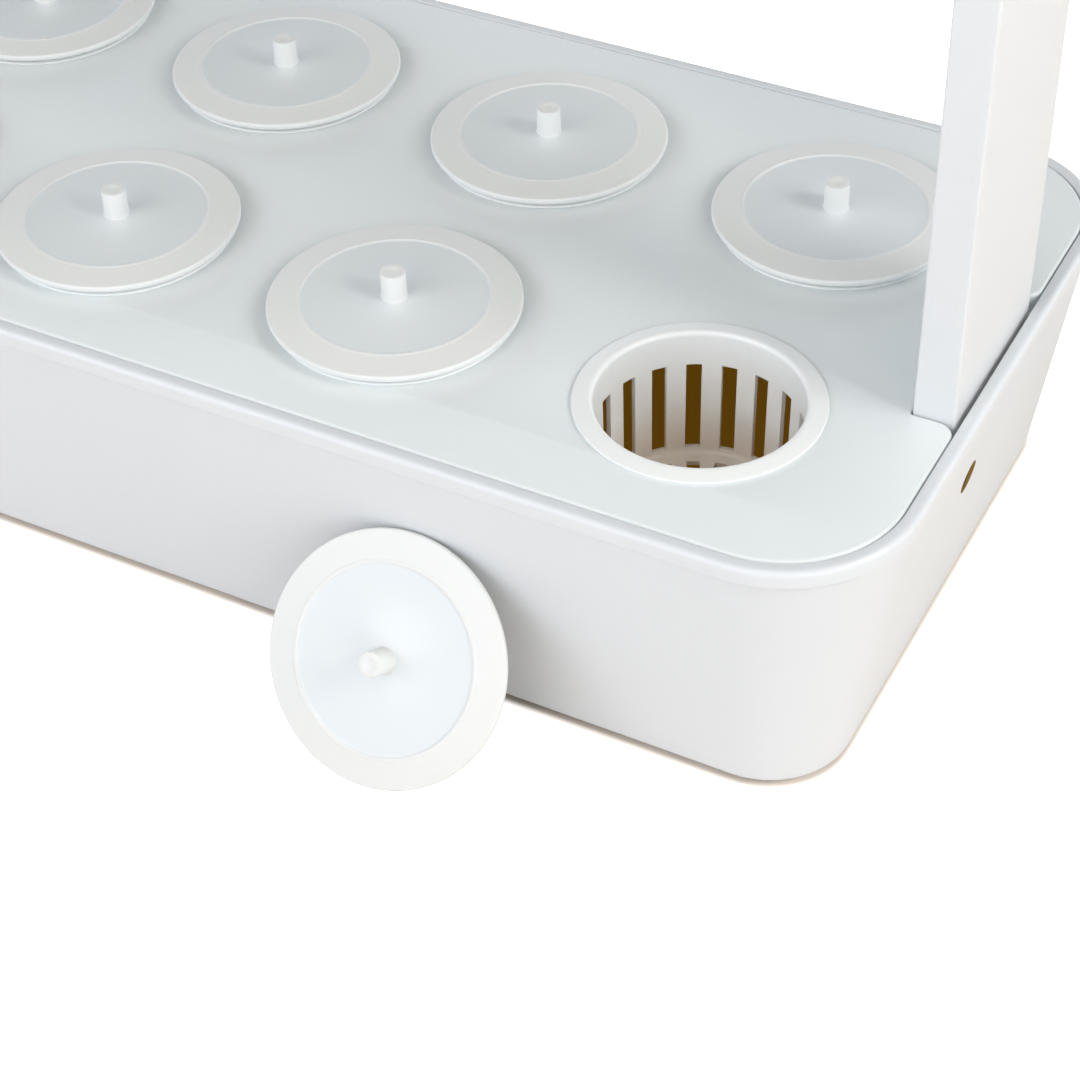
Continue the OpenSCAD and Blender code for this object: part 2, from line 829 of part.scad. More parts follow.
shaft_front = pump_front - grille_t + 2.2;
shaft_len = grille_t - 2.2 + chamber_l + 2;
module pump_shaft() {
    color([0.9, 0.9, 0.88])
    translate([shaft_front, pump_y, rotor_z])
        rotate([0, 90, 0])
            cylinder(r = shaft_r, h = shaft_len, $fn = 32);
}

module impeller() {
    color([0.75, 0.76, 0.78])
    translate([pump_front + 0.6, pump_y, rotor_z])
        rotate([0, 90, 0])
            difference() {
                union() {
                    translate([0, 0, 5])
                        cylinder(r = 5.4, h = 18, $fn = 48);
                    translate([0, 0, 5])
                        cylinder(r = 8.4, h = 1.2, $fn = 48);
                    cylinder(r = 2.2, h = 6, $fn = 32);
                    for (a = [0:60:300])
                        rotate(a)
                            translate([1.8, -0.6, 0])
                                cube([6.4, 1.2, 5.6]);
                }
                translate([0, 0, -1])
                    cylinder(r = shaft_r + 0.06, h = 30, $fn = 32);
            }
}

module pump_suckers() {
    color([0.2, 0.2, 0.2])
    for (sx = [-1, 1], sy = [-1, 1])
        translate([pump_x - pump_l / 2 + sx * (pump_l / 2 - 7), pump_y + sy * (pump_w / 2 - 7), floor_z])
            rotate_extrude($fn = 32)
                polygon([[0, 1.2], [3.6, 0], [5, 0], [4.6, 0.9], [2.2, 2.6], [2.2, sucker_h],
                    [1.5, sucker_h], [1.5, sucker_h + 2.2], [0, sucker_h + 2.2]]);
}

module outlet_pipe() {
    color([0.85, 0.87, 0.88])
    translate([stub_x, pump_y, pump_z + pump_h])
        difference() {
            union() {
                cylinder(r = 5.4, h = floor_z + outlet_h - pump_z - pump_h, $fn = 48);
                cylinder(r = 6.2, h = 3, $fn = 48);
            }
            translate([0, 0, -1])
                cylinder(r = 4.1, h = 60, $fn = 48);
        }
}

// ---------- pump lead ----------

lead_r = 1.6;
lead_y = row_shift;
grommet_r = 3.4;
grommet_lip = 4.4;
grommet_gap = 0.15;
grommet_y = -inlet_y;
grommet_z = inlet_z;

module lead_grommet() {
    color([0.12, 0.12, 0.12])
    translate([pedestal_in - 1.4, grommet_y, grommet_z])
        rotate([0, 90, 0])
            rotate_extrude($fn = 48)
                polygon([[lead_r + grommet_gap, 0], [4.6, 0], [5.2, 0.6], [5.2, 1.3],
                    [grommet_r - 0.1, 1.3], [grommet_r - 0.1, 1.5 + well_wall],
                    [grommet_lip, 1.5 + well_wall], [grommet_lip, 2.6 + well_wall],
                    [lead_r + grommet_gap, 3 + well_wall]]);
}

// Lead from the pump's rear face: along the front of the floor, up beside the pedestal and
// straight through its grommet to the inlet
lead_low = floor_z + lead_r + 0.3;
lead_front = -out_w(floor_z) / 2 + wall + 12;
lead_rise = pedestal_in - 11;
lead_corners = [
    [pump_x + 0.3, lead_y, rotor_z],
    [pump_x + 8, lead_y, rotor_z],
    [pump_x + 14, lead_y - 12, lead_low],
    [pump_x + 34, lead_front, lead_low],
    [lead_rise - 6, lead_front, lead_low],
    [lead_rise, lead_front + 6, lead_low],
    [lead_rise, grommet_y - 14, lead_low],
    [lead_rise, grommet_y, lead_low + 12],
    [lead_rise, grommet_y, grommet_z - 10],
    [lead_rise, grommet_y, grommet_z],
    [pedestal_in - 2.8, grommet_y, grommet_z],
    [inlet_back - 3.3, grommet_y, grommet_z]
];

// Each corner of a route cut to two, so that it bends more gently
function eased(p) = [
    p[0],
    for (i = [0:len(p) - 2])
        each [p[i] * 0.75 + p[i + 1] * 0.25, p[i] * 0.25 + p[i + 1] * 0.75],
    p[len(p) - 1]
];

function unit(v) = v / norm(v);
function tangent(p, i) = unit(p[min(i + 1, len(p) - 1)] - p[max(i - 1, 0)]);
askew = [0.6, 0.55, -0.58];

// Tube swept along a route: each ring stands square to the route's direction
module swept_tube(path, r, sides) {
    last = len(path) - 1;
    points = [
        for (i = [0:last])
            let (t = tangent(path, i), u = unit(cross(t, askew)), v = cross(t, u))
            for (k = [0:sides - 1])
                let (a = 360 * k / sides)
                path[i] + r * (cos(a) * u + sin(a) * v)
    ];
    skin = [
        for (i = [0:last - 1], k = [0:sides - 1])
            let (m = (k + 1) % sides, a = i * sides, b = a + sides)
            each [[a + k, a + m, b + m], [a + k, b + m, b + k]]
    ];
    first_cap = [for (k = [sides - 1:-1:0]) k];
    last_cap = [for (k = [0:sides - 1]) last * sides + k];
    polyhedron(points = points, faces = concat(skin, [first_cap, last_cap]), convexity = 6);
}

module pump_lead() {
    color([0.12, 0.12, 0.12])
        swept_tube(eased(eased(lead_corners)), lead_r, 8);
}

// ---------- grow light ----------

hood_l = rim_l;
hood_top = hood_z + hood_h;
mouth_l = 2 * (post_x - post_t / 2 - 6);
mouth_w = hood_w - 12;
mouth_r = 14;
ledge = 3;
plate_z = hood_z + diffuser_t + 1 + 5.4;
plate_t = 1.6;
boss_r = 4;
boss_x = mouth_l / 2 - 22;
boss_y = mouth_w / 2 - 10;
room_z = hood_top - hood_wall - 0.8;
button_x = mouth_l / 2 - 46;
button_y = -hood_w / 2 + 40;
hood_hole_y = 14;
hood_screw_z = 8;
hood_screw_r = 1.6;
head_sink = 3;
hood_screw_l = 6;
plate_screw_l = 7;

module hood_shell() {
    color(white)
    difference() {
        loft([
            [hood_z, hood_l - 1.6, hood_w - 1.6, hood_r - 0.8],
            [hood_z + 0.8, hood_l, hood_w, hood_r],
            [hood_z + 2, hood_l, hood_w, hood_r],
            [hood_top - 6, hood_l - 3, hood_w - 3, hood_r - 1.5],
            [hood_top - 3, hood_l - 5, hood_w - 5, hood_r - 2.5],
            [hood_top - 1, hood_l - 9, hood_w - 9, hood_r - 4.5],
            [hood_top, hood_l - 15, hood_w - 15, hood_r - 7.5]
        ]);
        // Recess for the diffuser, then the room above its ledge
        translate([0, 0, hood_z - 1])
            linear_extrude(diffuser_t + 2)
                rounded_rect(mouth_l + 2 * ledge, mouth_w + 2 * ledge, mouth_r + ledge);
        difference() {
            translate([0, 0, hood_z])
                linear_extrude(room_z - hood_z)
                    rounded_rect(mouth_l, mouth_w, mouth_r);
            for (sx = [-1, 1], sy = [-1, 1])
                translate([sx * boss_x, sy * boss_y, plate_z + plate_t])
                    cylinder(r = boss_r, h = hood_h, $fn = 32);
        }
        for (sx = [-1, 1], sy = [-1, 1])
            translate([sx * boss_x, sy * boss_y, plate_z])
                cylinder(r = 1.2, h = plate_screw_l + 1, $fn = 32);
        for (side = [-1, 1])
            at_end(side) {
                translate([post_x - mast_t / 2 - plug_gap, -mast_w / 2 - plug_gap, hood_z - 1])
                    cube([mast_t + 2 * plug_gap, mast_w + 2 * plug_gap, mast_socket + 1]);
                for (sy = [-1, 1])
                    translate([0, sy * hood_hole_y, hood_z + hood_screw_z])
                        rotate([0, 90, 0]) {
                            translate([0, 0, post_x])
                                cylinder(r = hood_screw_r, h = 40, $fn = 32);
                            translate([0, 0, hood_l / 2 - head_sink])
                                cylinder(r = 3.4, h = 10, $fn = 32);
                        }
            }
        translate([button_x, button_y, hood_top - 10])
            cylinder(r = button_d / 2 + glide, h = 20, $fn = 64);
    }
}

module light_plate() {
    color([0.75, 0.76, 0.78])
    difference() {
        translate([0, 0, plate_z])
            linear_extrude(plate_t)
                rounded_rect(mouth_l - 2, mouth_w - 2, mouth_r - 1);
        for (sx = [-1, 1], sy = [-1, 1])
            translate([sx * boss_x, sy * boss_y, plate_z - 1])
                cylinder(r = 1.5, h = 5, $fn = 32);
    }
}

board_t = 1.2;
board_end = 32;
board_l = mouth_l - 2 * board_end;
chip = [5, 3.5, 0.8];
module led_board(side) {
    color([0.95, 0.95, 0.93])
    translate([0, side * mouth_w / 4, plate_z]) {
        translate([-board_l / 2, -7, -board_t])
            cube([board_l, 14, board_t]);
        for (i = [0:chips - 1])
            translate([(i - (chips - 1) / 2) * board_l / chips - chip[0] / 2, -chip[1] / 2, -board_t - chip[2]])
                cube([chip[0], chip[1], chip[2] + eps]);
    }
}

module diffuser() {
    color([0.96, 0.97, 0.97])
    translate([0, 0, hood_z + 1])
        linear_extrude(diffuser_t)
            rounded_rect(mouth_l + 2 * ledge - 0.6, mouth_w + 2 * ledge - 0.6, mouth_r + ledge - 0.3);
}

// Driver board on the plate, under the button; the button's spring stands on it
driver_l = 60;
driver_w = 34;
driver_t = 1.6;
standoff = 2;
driver_z = plate_z + plate_t + standoff;
switch_h = 1.4;
module driver_board() {
    color([0.15, 0.4, 0.25])
    translate([button_x - driver_l / 2, button_y - driver_w / 2, 0]) {
        for (x = [4, driver_l - 4], y = [4, driver_w - 4])
            translate([x, y, driver_z - standoff])
                cylinder(r = 2, h = standoff + eps, $fn = 24);
        translate([0, 0, driver_z])
            cube([driver_l, driver_w, driver_t]);
        translate([4, 9, driver_z + driver_t - eps])
            cube([10, 16, 3]);
        translate([46, 12, driver_z + driver_t - eps])
            cylinder(r = 4, h = 3.4, $fn = 32);
        translate([42, 20, driver_z + driver_t - eps])
            cube([10, 8, 2.4]);
        translate([driver_l / 2, driver_w / 2, driver_z + driver_t - eps])
            cylinder(r = 1.6, h = switch_h, $fn = 24);
    }
}

// Push button in the hood's top, with a flange that the hood's roof stops
flange_t = 1;
button_proud = button_travel + 0.6;
button_low = room_z - clear - flange_t;
module light_button() {
    color([0.8, 0.82, 0.82])
    translate([button_x, button_y, 0])
        difference() {
            rotate_extrude($fn = 64)
                polygon([[0, button_low], [button_d / 2 + 1.4, button_low],
                    [button_d / 2 + 1.4, button_low + flange_t], [button_d / 2, button_low + flange_t],
                    [button_d / 2, hood_top + button_proud - 0.6],
                    [button_d / 2 - 0.6, hood_top + button_proud],
                    [button_d / 2 - 1.6, hood_top + button_proud],
                    [button_d / 2 - 2.6, hood_top + button_proud - 0.4],
                    [0, hood_top + button_proud - 0.6]]);
            translate([0, 0, button_low - 1])
                cylinder(r = spring_r + 0.8, h = 2.6, $fn = 32);
        }
}

// Coil spring between the board and the button
spring_r = 3;
spring_wire = 0.35;
spring_turns = 3;
module button_spring() {
    low = driver_z + driver_t + spring_wire;
    high = button_low + 1.6 - spring_wire;
    steps = 14 * spring_turns;
    color([0.7, 0.71, 0.73])
    translate([button_x, button_y, 0])
        swept_tube([for (i = [0:steps])
            let (t = i / steps, a = 360 * spring_turns * t)
            [spring_r * cos(a), spring_r * sin(a), low + (high - low) * t]],
            spring_wire, 8);
}

module hood_screws() {
    color([0.7, 0.71, 0.73])
    for (side = [-1, 1], sy = [-1, 1])
        at_end(side)
            translate([hood_l / 2 - head_sink, sy * hood_hole_y, hood_z + hood_screw_z])
                rotate([0, 90, 0])
                    pan_screw(hood_screw_r - 0.1, 3.1, hood_screw_l);
}

module plate_screws() {
    color([0.7, 0.71, 0.73])
    for (sx = [-1, 1], sy = [-1, 1])
        translate([sx * boss_x, sy * boss_y, plate_z])
            rotate([180, 0, 0])
                pan_screw(1.1, 2.6, plate_screw_l);
}

// ---------- drawing ----------

basin();
deck();
feet();
for (n = [1:sites]) {
    net_cup_at(n);
    cap_at(n);
}
post(1);  // right_post
post(-1);  // left_post
post_foot(1);  // right_post_foot
post_foot(-1);  // left_post_foot
post_screws();
collar(1);  // right_collar
collar(-1);  // left_collar
mast(1);  // right_mast
mast(-1);  // left_mast
well_cover();
cover_screws();
dc_inlet();
inlet_nut();
pump_body();
pump_grille();
impeller();
pump_shaft();
pump_suckers();
outlet_pipe();
lead_grommet();
pump_lead();
hood_shell();
light_plate();
led_board(-1);  // led_board_front
led_board(1);  // led_board_rear
diffuser();
driver_board();
light_button();
button_spring();
hood_screws();
plate_screws();
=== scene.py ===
"""Looks of a countertop hydroponic garden: a white basin, its lift-out deck, net cups and caps,
the posts and the grow light, with a camera, a pale floor and soft studio light."""

import bpy
import numpy as np
from mathutils import Matrix, Vector
from mathutils.geometry import tessellate_polygon


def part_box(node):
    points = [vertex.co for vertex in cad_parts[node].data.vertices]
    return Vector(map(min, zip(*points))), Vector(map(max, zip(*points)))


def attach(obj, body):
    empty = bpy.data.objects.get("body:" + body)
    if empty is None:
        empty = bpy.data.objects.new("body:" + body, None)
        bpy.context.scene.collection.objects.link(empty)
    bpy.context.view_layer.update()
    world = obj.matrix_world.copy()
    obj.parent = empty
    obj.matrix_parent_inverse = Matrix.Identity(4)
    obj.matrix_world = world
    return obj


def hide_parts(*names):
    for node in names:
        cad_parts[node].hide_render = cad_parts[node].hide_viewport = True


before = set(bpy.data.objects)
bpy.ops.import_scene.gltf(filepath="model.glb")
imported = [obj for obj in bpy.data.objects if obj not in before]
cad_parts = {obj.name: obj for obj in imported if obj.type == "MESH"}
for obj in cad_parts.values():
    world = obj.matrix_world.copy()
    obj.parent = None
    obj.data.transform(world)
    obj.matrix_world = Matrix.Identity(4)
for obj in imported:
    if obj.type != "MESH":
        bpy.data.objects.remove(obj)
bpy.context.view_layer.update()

MM = 0.001

# ---------------------------------------------------------------- sizes, in millimetres


def node_box(name):
    """The lowest and highest corner of a CAD node, in millimetres."""
    low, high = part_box(name)
    return np.array(low) / MM, np.array(high) / MM


BASIN_LOW, BASIN_HIGH = node_box("basin")
DECK_LOW, DECK_HIGH = node_box("deck")
POST_LOW, POST_HIGH = node_box("right_post")
MAST_LOW, MAST_HIGH = node_box("right_mast")
HOOD_LOW, HOOD_HIGH = node_box("hood_shell")
CUP_LOW, CUP_HIGH = node_box("net_cup_1")
CAP_LOW, CAP_HIGH = node_box("cap_1")
COLLAR_LOW, COLLAR_HIGH = node_box("right_collar")
BUTTON_LOW, BUTTON_HIGH = node_box("light_button")

RIM_Z = BASIN_HIGH[2]
BASE_Z = BASIN_LOW[2]
RIM_L = BASIN_HIGH[0] - BASIN_LOW[0]
RIM_W = BASIN_HIGH[1] - BASIN_LOW[1]
DECK_L = DECK_HIGH[0] - DECK_LOW[0]
DECK_W = DECK_HIGH[1] - DECK_LOW[1]
RIM_R = 35.0
DECK_R = 31.0
BASE_R = 22.0
LIP_H = 5.0
LIP_Z = RIM_Z - LIP_H
LIP_STEP = 1.2
END_TAPER = 11.5
SIDE_TAPER = 9.1
WALL = 2.4
FLOOR_T = 2.6
FLOOR_Z = BASE_Z + FLOOR_T
DECK_GAP = 0.4
DECK_T = 2.5
WEB = 1.8
COLLAR_DEPTH = 5.0
CLEAR = 0.3

POST_T = POST_HIGH[0] - POST_LOW[0]
POST_W = POST_HIGH[1] - POST_LOW[1]
POST_X = (POST_HIGH[0] + POST_LOW[0]) / 2
POST_WALL = 1.7
POST_EDGE = 0.8
MAST_T = 4.7
MAST_W = 47.4
NOTCH_R = 4.5
NOTCH_REAR = 3.0

CUP_R = 25.8
CUP_WALL = 1.4
CUP_H = RIM_Z - CUP_LOW[2]
CREST_H = CUP_HIGH[2] - RIM_Z
CUP_DRAFT = np.tan(np.radians(0.8))
FLANGE_R = (CUP_HIGH[0] - CUP_LOW[0]) / 2
CUP_COLLAR = 8.5
SLOT_H = 26.5
SLOTS = 18
SLOT_W = 3.9
FLOOR_SLOT_W = 3.4
CUP_TURN = np.radians(17.5)
HOLE_R = CUP_R + CUP_WALL + 0.5

CAP_R = (CAP_HIGH[0] - CAP_LOW[0]) / 2
CAP_T = 2.3
CAP_TOP = 3.3
STEP_R = 24.1
STEP_H = 0.15
NUB_R = 3.3
NUB_H = 8.9
SPIGOT_H = 4.0
LEAN_TILT = np.radians(33.0)
LEAN_CAP = 4

ROWS = 2
COLUMNS = 4
SITES = {n: sum(node_box(f"net_cup_{n}")) / 2 for n in range(1, ROWS * COLUMNS + 1)}

# ---------------------------------------------------------------- camera

CAMERA_AT = Vector((318.03, -477.62, 455.61)) * MM
CAMERA_RIGHT = Vector((0.88657, 0.46209, -0.02186))
CAMERA_DOWN = Vector((0.29298, -0.59743, -0.74648))
CAMERA_FORWARD = Vector((-0.35800, 0.65540, -0.66504))
CAMERA_LENS = 83.46
CAMERA_SENSOR = 36.0
CAMERA_REACH = 20.0


def add_object(name, data):
    """A new object in the scene."""
    item = bpy.data.objects.new(name, data)
    bpy.context.scene.collection.objects.link(item)
    return item


def make_camera():
    """A long lens that looks down on the garden's front right corner."""
    camera_data = bpy.data.cameras.new("camera")
    camera_data.sensor_width = CAMERA_SENSOR
    camera_data.lens = CAMERA_LENS
    camera_data.clip_end = CAMERA_REACH
    camera = add_object("camera", camera_data)
    turn = Matrix((CAMERA_RIGHT, -CAMERA_DOWN, -CAMERA_FORWARD)).transposed()
    camera.matrix_world = Matrix.LocRotScale(CAMERA_AT, turn.to_quaternion(), None)
    bpy.context.scene.camera = camera


make_camera()

# ---------------------------------------------------------------- mesh building

WELD_DIGITS = 5
SMOOTH_ANGLE = np.radians(32.0)
BEVEL_ANGLE = np.radians(50.0)
CORNERS = ((1, 1), (-1, 1), (-1, -1), (1, -1))
CORNER_STEPS = 40
HOLE_STEPS = 96
ROD_STEPS = 48
LOOP_COUNT = 4 * (CORNER_STEPS + 3)


def grid_faces(rings, count):
    """Quads between closed rings of points: point i of ring k is number k * count + i."""
    k, i = np.meshgrid(np.arange(rings - 1), np.arange(count), indexing="ij")
    j = (i + 1) % count
    quads = np.stack([k * count + i, k * count + j, (k + 1) * count + j, (k + 1) * count + i], -1)
    return quads.reshape(-1, 4).tolist()


def joined(parts):
    """One (points, faces) part from several."""
    points, faces, start = [], [], 0
    for part_points, part_faces in parts:
        points.append(part_points)
        faces.extend([[start + v for v in face] for face in part_faces])
        start += len(part_points)
    return np.concatenate(points), faces


def smooth_mesh(name, points, faces):
    """A smooth mesh from points in millimetres."""
    mesh = bpy.data.meshes.new(name)
    mesh.from_pydata((points * MM).tolist(), [], faces)
    mesh.polygons.foreach_set("use_smooth", np.ones(len(mesh.polygons), dtype=bool))
    return mesh


def make_piece(name, parts, material, body, nodes, bevel=0.0):
    """One object from (points, faces) parts in millimetres, welded, smooth but for its sharp edges,
    which rides a body and takes the place of its CAD nodes."""
    points, faces = joined(parts)
    _, first, where = np.unique(np.round(points, WELD_DIGITS), axis=0, return_index=True,
                                return_inverse=True)
    where = where.reshape(-1)
    welded = []
    for face in faces:
        corners = [int(where[v]) for v in face]
        corners = [v for n, v in enumerate(corners) if v != corners[n - 1]]
        if len(corners) > 2:
            welded.append(corners)
    mesh = smooth_mesh(name, points[first], welded)
    mesh.set_sharp_from_angle(angle=SMOOTH_ANGLE)
    mesh.materials.append(material)
    piece = add_object(name, mesh)
    if bevel:
        rounding = piece.modifiers.new("edges", "BEVEL")
        rounding.width = bevel * MM
        rounding.segments = 2
        rounding.limit_method = "ANGLE"
        rounding.angle_limit = BEVEL_ANGLE
        rounding.harden_normals = False
    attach(piece, body)
    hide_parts(*nodes)
    return piece


def carve(piece, joins, cuts):
    """Joins some solids to the piece and takes others out of it; each is a (points, faces) part."""
    solids = []
    steps = [("UNION", part) for part in joins] + [("DIFFERENCE", part) for part in cuts]
    for operation, (points, faces) in steps:
        solid = add_object("solid", smooth_mesh("solid", points, faces))
        step = piece.modifiers.new("step", "BOOLEAN")
        step.operation = operation
        step.solver = "EXACT"
        step.object = solid
        solids.append(solid)
    bpy.context.view_layer.update()
    evaluated = piece.evaluated_get(bpy.context.evaluated_depsgraph_get())
    mesh = bpy.data.meshes.new_from_object(evaluated)
    piece.modifiers.clear()
    piece.data = mesh
    mesh.set_sharp_from_angle(angle=SMOOTH_ANGLE)
    for solid in solids:
        bpy.data.objects.remove(solid)


def rounded_loop(l, w, r):
    """Loop of a rounded rectangle: four quarter circles of radius r, each met by its two straight
    sides, with one more point 1 mm along each side to hold the flats flat."""
    loop = []
    for quarter, (x, y) in enumerate(CORNERS):
        a = np.pi / 2 * (quarter + np.linspace(0, 1, CORNER_STEPS + 1))
        centre = np.array([x * (l / 2 - r), y * (w / 2 - r)])
        corner = centre + r * np.stack([np.cos(a), np.sin(a)], -1)
        before = corner[0] - [-np.sin(a[0]), np.cos(a[0])]
        after = corner[-1] + [-np.sin(a[-1]), np.cos(a[-1])]
        loop += [before[None], corner, after[None]]
    return np.concatenate(loop)


def loft(rings, closed=True):
    """Skin through rounded rectangles (z, length, width, radius), listed from one end to the other:
    every ring has the same points, quads join each ring to the next, and flat faces close it."""
    loops = [np.c_[rounded_loop(l, w, r), np.full(LOOP_COUNT, z)] for z, l, w, r in rings]
    faces = grid_faces(len(loops), LOOP_COUNT)
    if closed:
        faces.append(list(range(LOOP_COUNT))[::-1])
        faces.append([(len(loops) - 1) * LOOP_COUNT + i for i in range(LOOP_COUNT)])
    return np.concatenate(loops), faces


def quarter_arc(radius, steps):
    """(inset, rise) along a quarter circle that turns from upright to level."""
    a = np.linspace(0, np.pi / 2, steps + 1)
    return [(radius * (1 - np.cos(t)), radius * np.sin(t)) for t in a]


def revolve(profile, centre, segments):
    """Solid of revolution: profile points (radius, z), from the axis round to the axis again,
    turned about the upright line through centre."""
    profile = np.array(profile, float)
    a = np.linspace(0, 2 * np.pi, segments, endpoint=False)
    r, z = profile[:, 0:1], profile[:, 1:2]
    points = np.stack([r * np.cos(a), r * np.sin(a), z + 0 * a], -1).reshape(-1, 3) + centre
    return points, grid_faces(len(profile), segments)


def box_solid(low, high, top_high=None):
    """Closed box, or with a far corner (x, y) of its own for the top a box with slanted sides."""
    x0, y0, z0 = low
    x1, y1, z1 = high
    top_x, top_y = top_high or (x1, y1)
    points = np.array([[x0, y0, z0], [x1, y0, z0], [x1, y1, z0], [x0, y1, z0],
                       [x0, y0, z1], [top_x, y0, z1], [top_x, top_y, z1], [x0, top_y, z1]], float)
    faces = [[3, 2, 1, 0], [4, 5, 6, 7], [0, 1, 5, 4], [1, 2, 6, 5], [2, 3, 7, 6], [3, 0, 4, 7]]
    return points, faces


def mirrored(part, flip=(-1, 1, 1)):
    """The part's mirror image, across the middle of the garden's length unless flip says else."""
    points, faces = part
    return points * flip, [face[::-1] for face in faces]


def at_end(part, side):
    """The part for the right end, or its mirror image for the left end."""
    return part if side > 0 else mirrored(part)


def rod(radius, start, end, segments=ROD_STEPS):
    """Closed cylinder between two points."""
    start, end = np.array(start, float), np.array(end, float)
    axis = (end - start) / np.linalg.norm(end - start)
    across = np.cross(axis, [0, 0, 1] if abs(axis[2]) < 0.9 else [1, 0, 0])
    across /= np.linalg.norm(across)
    up = np.cross(axis, across)
    a = np.linspace(0, 2 * np.pi, segments, endpoint=False)[:, None]
    rim = radius * (np.cos(a) * across + np.sin(a) * up)
    points = np.concatenate([start + rim, end + rim])
    faces = grid_faces(2, segments)
    faces.append(list(range(segments))[::-1])
    faces.append([segments + i for i in range(segments)])
    return points, faces


# ---------------------------------------------------------------- materials

PATTERN_LOW, PATTERN_HIGH = 0.3, 0.7
TONE_SCALE = 14.0
GLOSS_SCALE = 30.0
GRAIN_SCALE = 900.0
GLOSS_LOW, GLOSS_HIGH = 0.9, 1.12
PLASTIC_IOR = 1.49


def new_material(name):
    """An empty material with its shader and its Object coordinates."""
    material = bpy.data.materials.new(name)
    material.use_nodes = True
    tree = material.node_tree
    tree.nodes.clear()
    output = tree.nodes.new("ShaderNodeOutputMaterial")
    shader = tree.nodes.new("ShaderNodeBsdfPrincipled")
    tree.links.new(shader.outputs["BSDF"], output.inputs["Surface"])
    where = tree.nodes.new("ShaderNodeTexCoord")
    return material, tree, shader, where.outputs["Object"]


def noise(tree, where, scale, detail=3.0, roughness=0.5):
    """A noise pattern over the piece, scale in cells per metre."""
    pattern = tree.nodes.new("ShaderNodeTexNoise")
    pattern.inputs["Scale"].default_value = scale
    pattern.inputs["Detail"].default_value = detail
    pattern.inputs["Roughness"].default_value = roughness
    tree.links.new(where, pattern.inputs["Vector"])
    return pattern.outputs["Fac"]


def ranged(tree, value, start, stop, low, high, smooth=False):
    """Maps the values from start to stop onto low to high."""
    node = tree.nodes.new("ShaderNodeMapRange")
    if smooth:
        node.interpolation_type = "SMOOTHSTEP"
    node.inputs["From Min"].default_value = start
    node.inputs["From Max"].default_value = stop
    node.inputs["To Min"].default_value = low
    node.inputs["To Max"].default_value = high
    tree.links.new(value, node.inputs["Value"])
    return node.outputs["Result"]


def spread(tree, pattern, low, high):
    """Maps a pattern's middle range onto low to high."""
    return ranged(tree, pattern, PATTERN_LOW, PATTERN_HIGH, low, high)


def tint(tree, pattern, dark, light):
    """Mixes two colours by a pattern."""
    ramp = tree.nodes.new("ShaderNodeValToRGB")
    places = (PATTERN_LOW, PATTERN_HIGH)
    for element, place, colour in zip(ramp.color_ramp.elements, places, (dark, light)):
        element.position = place
        element.color = (*colour, 1.0)
    tree.links.new(pattern, ramp.inputs["Fac"])
    return ramp.outputs["Color"]


def height_of(tree, where):
    """The upright part of a position or a direction."""
    split = tree.nodes.new("ShaderNodeSeparateXYZ")
    tree.links.new(where, split.inputs["Vector"])
    return split.outputs["Z"]


def add_bump(tree, shader, height, distance, strength):
    """Raises the surface by a pattern, distance in millimetres."""
    bump = tree.nodes.new("ShaderNodeBump")
    bump.inputs["Strength"].default_value = strength
    bump.inputs["Distance"].default_value = distance * MM
    tree.links.new(height, bump.inputs["Height"])
    tree.links.new(bump.outputs["Normal"], shader.inputs["Normal"])


def moulded_plastic(name, colour, roughness, variation=0.008):
    """Moulded plastic: slow changes of tone and of gloss."""
    material, tree, shader, where = new_material(name)
    dark, light = np.array(colour) * (1 - variation), np.array(colour) * (1 + variation)
    tone = tint(tree, noise(tree, where, TONE_SCALE, 0.0), dark, np.minimum(light, 1))
    gloss = spread(tree, noise(tree, where, GLOSS_SCALE, 0.0),
                   roughness * GLOSS_LOW, roughness * GLOSS_HIGH)
    tree.links.new(tone, shader.inputs["Base Color"])
    tree.links.new(gloss, shader.inputs["Roughness"])
    shader.inputs["IOR"].default_value = PLASTIC_IOR
    return material


def shader_of(material):
    """The material's main shader."""
    return next(n for n in material.node_tree.nodes if n.type == "BSDF_PRINCIPLED")


def painted_glow(material, colour):
    """Painted glow: the finish emits a dim colour of its own, standing in for daylight that the
    white walls let through to the inside.
    """
    shader = shader_of(material)
    shader.inputs["Emission Color"].default_value = (*colour, 1.0)
    shader.inputs["Emission Strength"].default_value = 1.0


def painted_warm_shade_below(material, warmth, low, high):
    """Painted warm shade: multiplies a finish's colour by a warm, darker one below a height, and
    fades that out up to a second height."""
    tree, colour = material.node_tree, shader_of(material).inputs["Base Color"]
    plain = colour.links[0].from_socket
    where = tree.nodes.new("ShaderNodeTexCoord")
    height = height_of(tree, where.outputs["Object"])
    depth = ranged(tree, height, low * MM, high * MM, 1.0, 0.0, smooth=True)
    mix = tree.nodes.new("ShaderNodeMix")
    mix.data_type = "RGBA"
    mix.blend_type = "MULTIPLY"
    factor, first, second = mix.inputs[0], mix.inputs[6], mix.inputs[7]
    second.default_value = (*warmth, 1.0)
    tree.links.new(depth, factor)
    tree.links.new(plain, first)
    tree.links.new(mix.outputs[2], colour)


def plain_metal(name, colour, roughness):
    """Metal with a fine worn grain."""
    material, tree, shader, where = new_material(name)
    colour = np.array(colour)
    pattern = noise(tree, where, GRAIN_SCALE, 4.0, 0.6)
    gloss = spread(tree, pattern, roughness * 0.8, roughness * 1.25)
    tree.links.new(tint(tree, pattern, colour * 0.9, colour), shader.inputs["Base Color"])
    tree.links.new(gloss, shader.inputs["Roughness"])
    add_bump(tree, shader, pattern, 0.01, 0.4)
    shader.inputs["Metallic"].default_value = 1.0
    return material


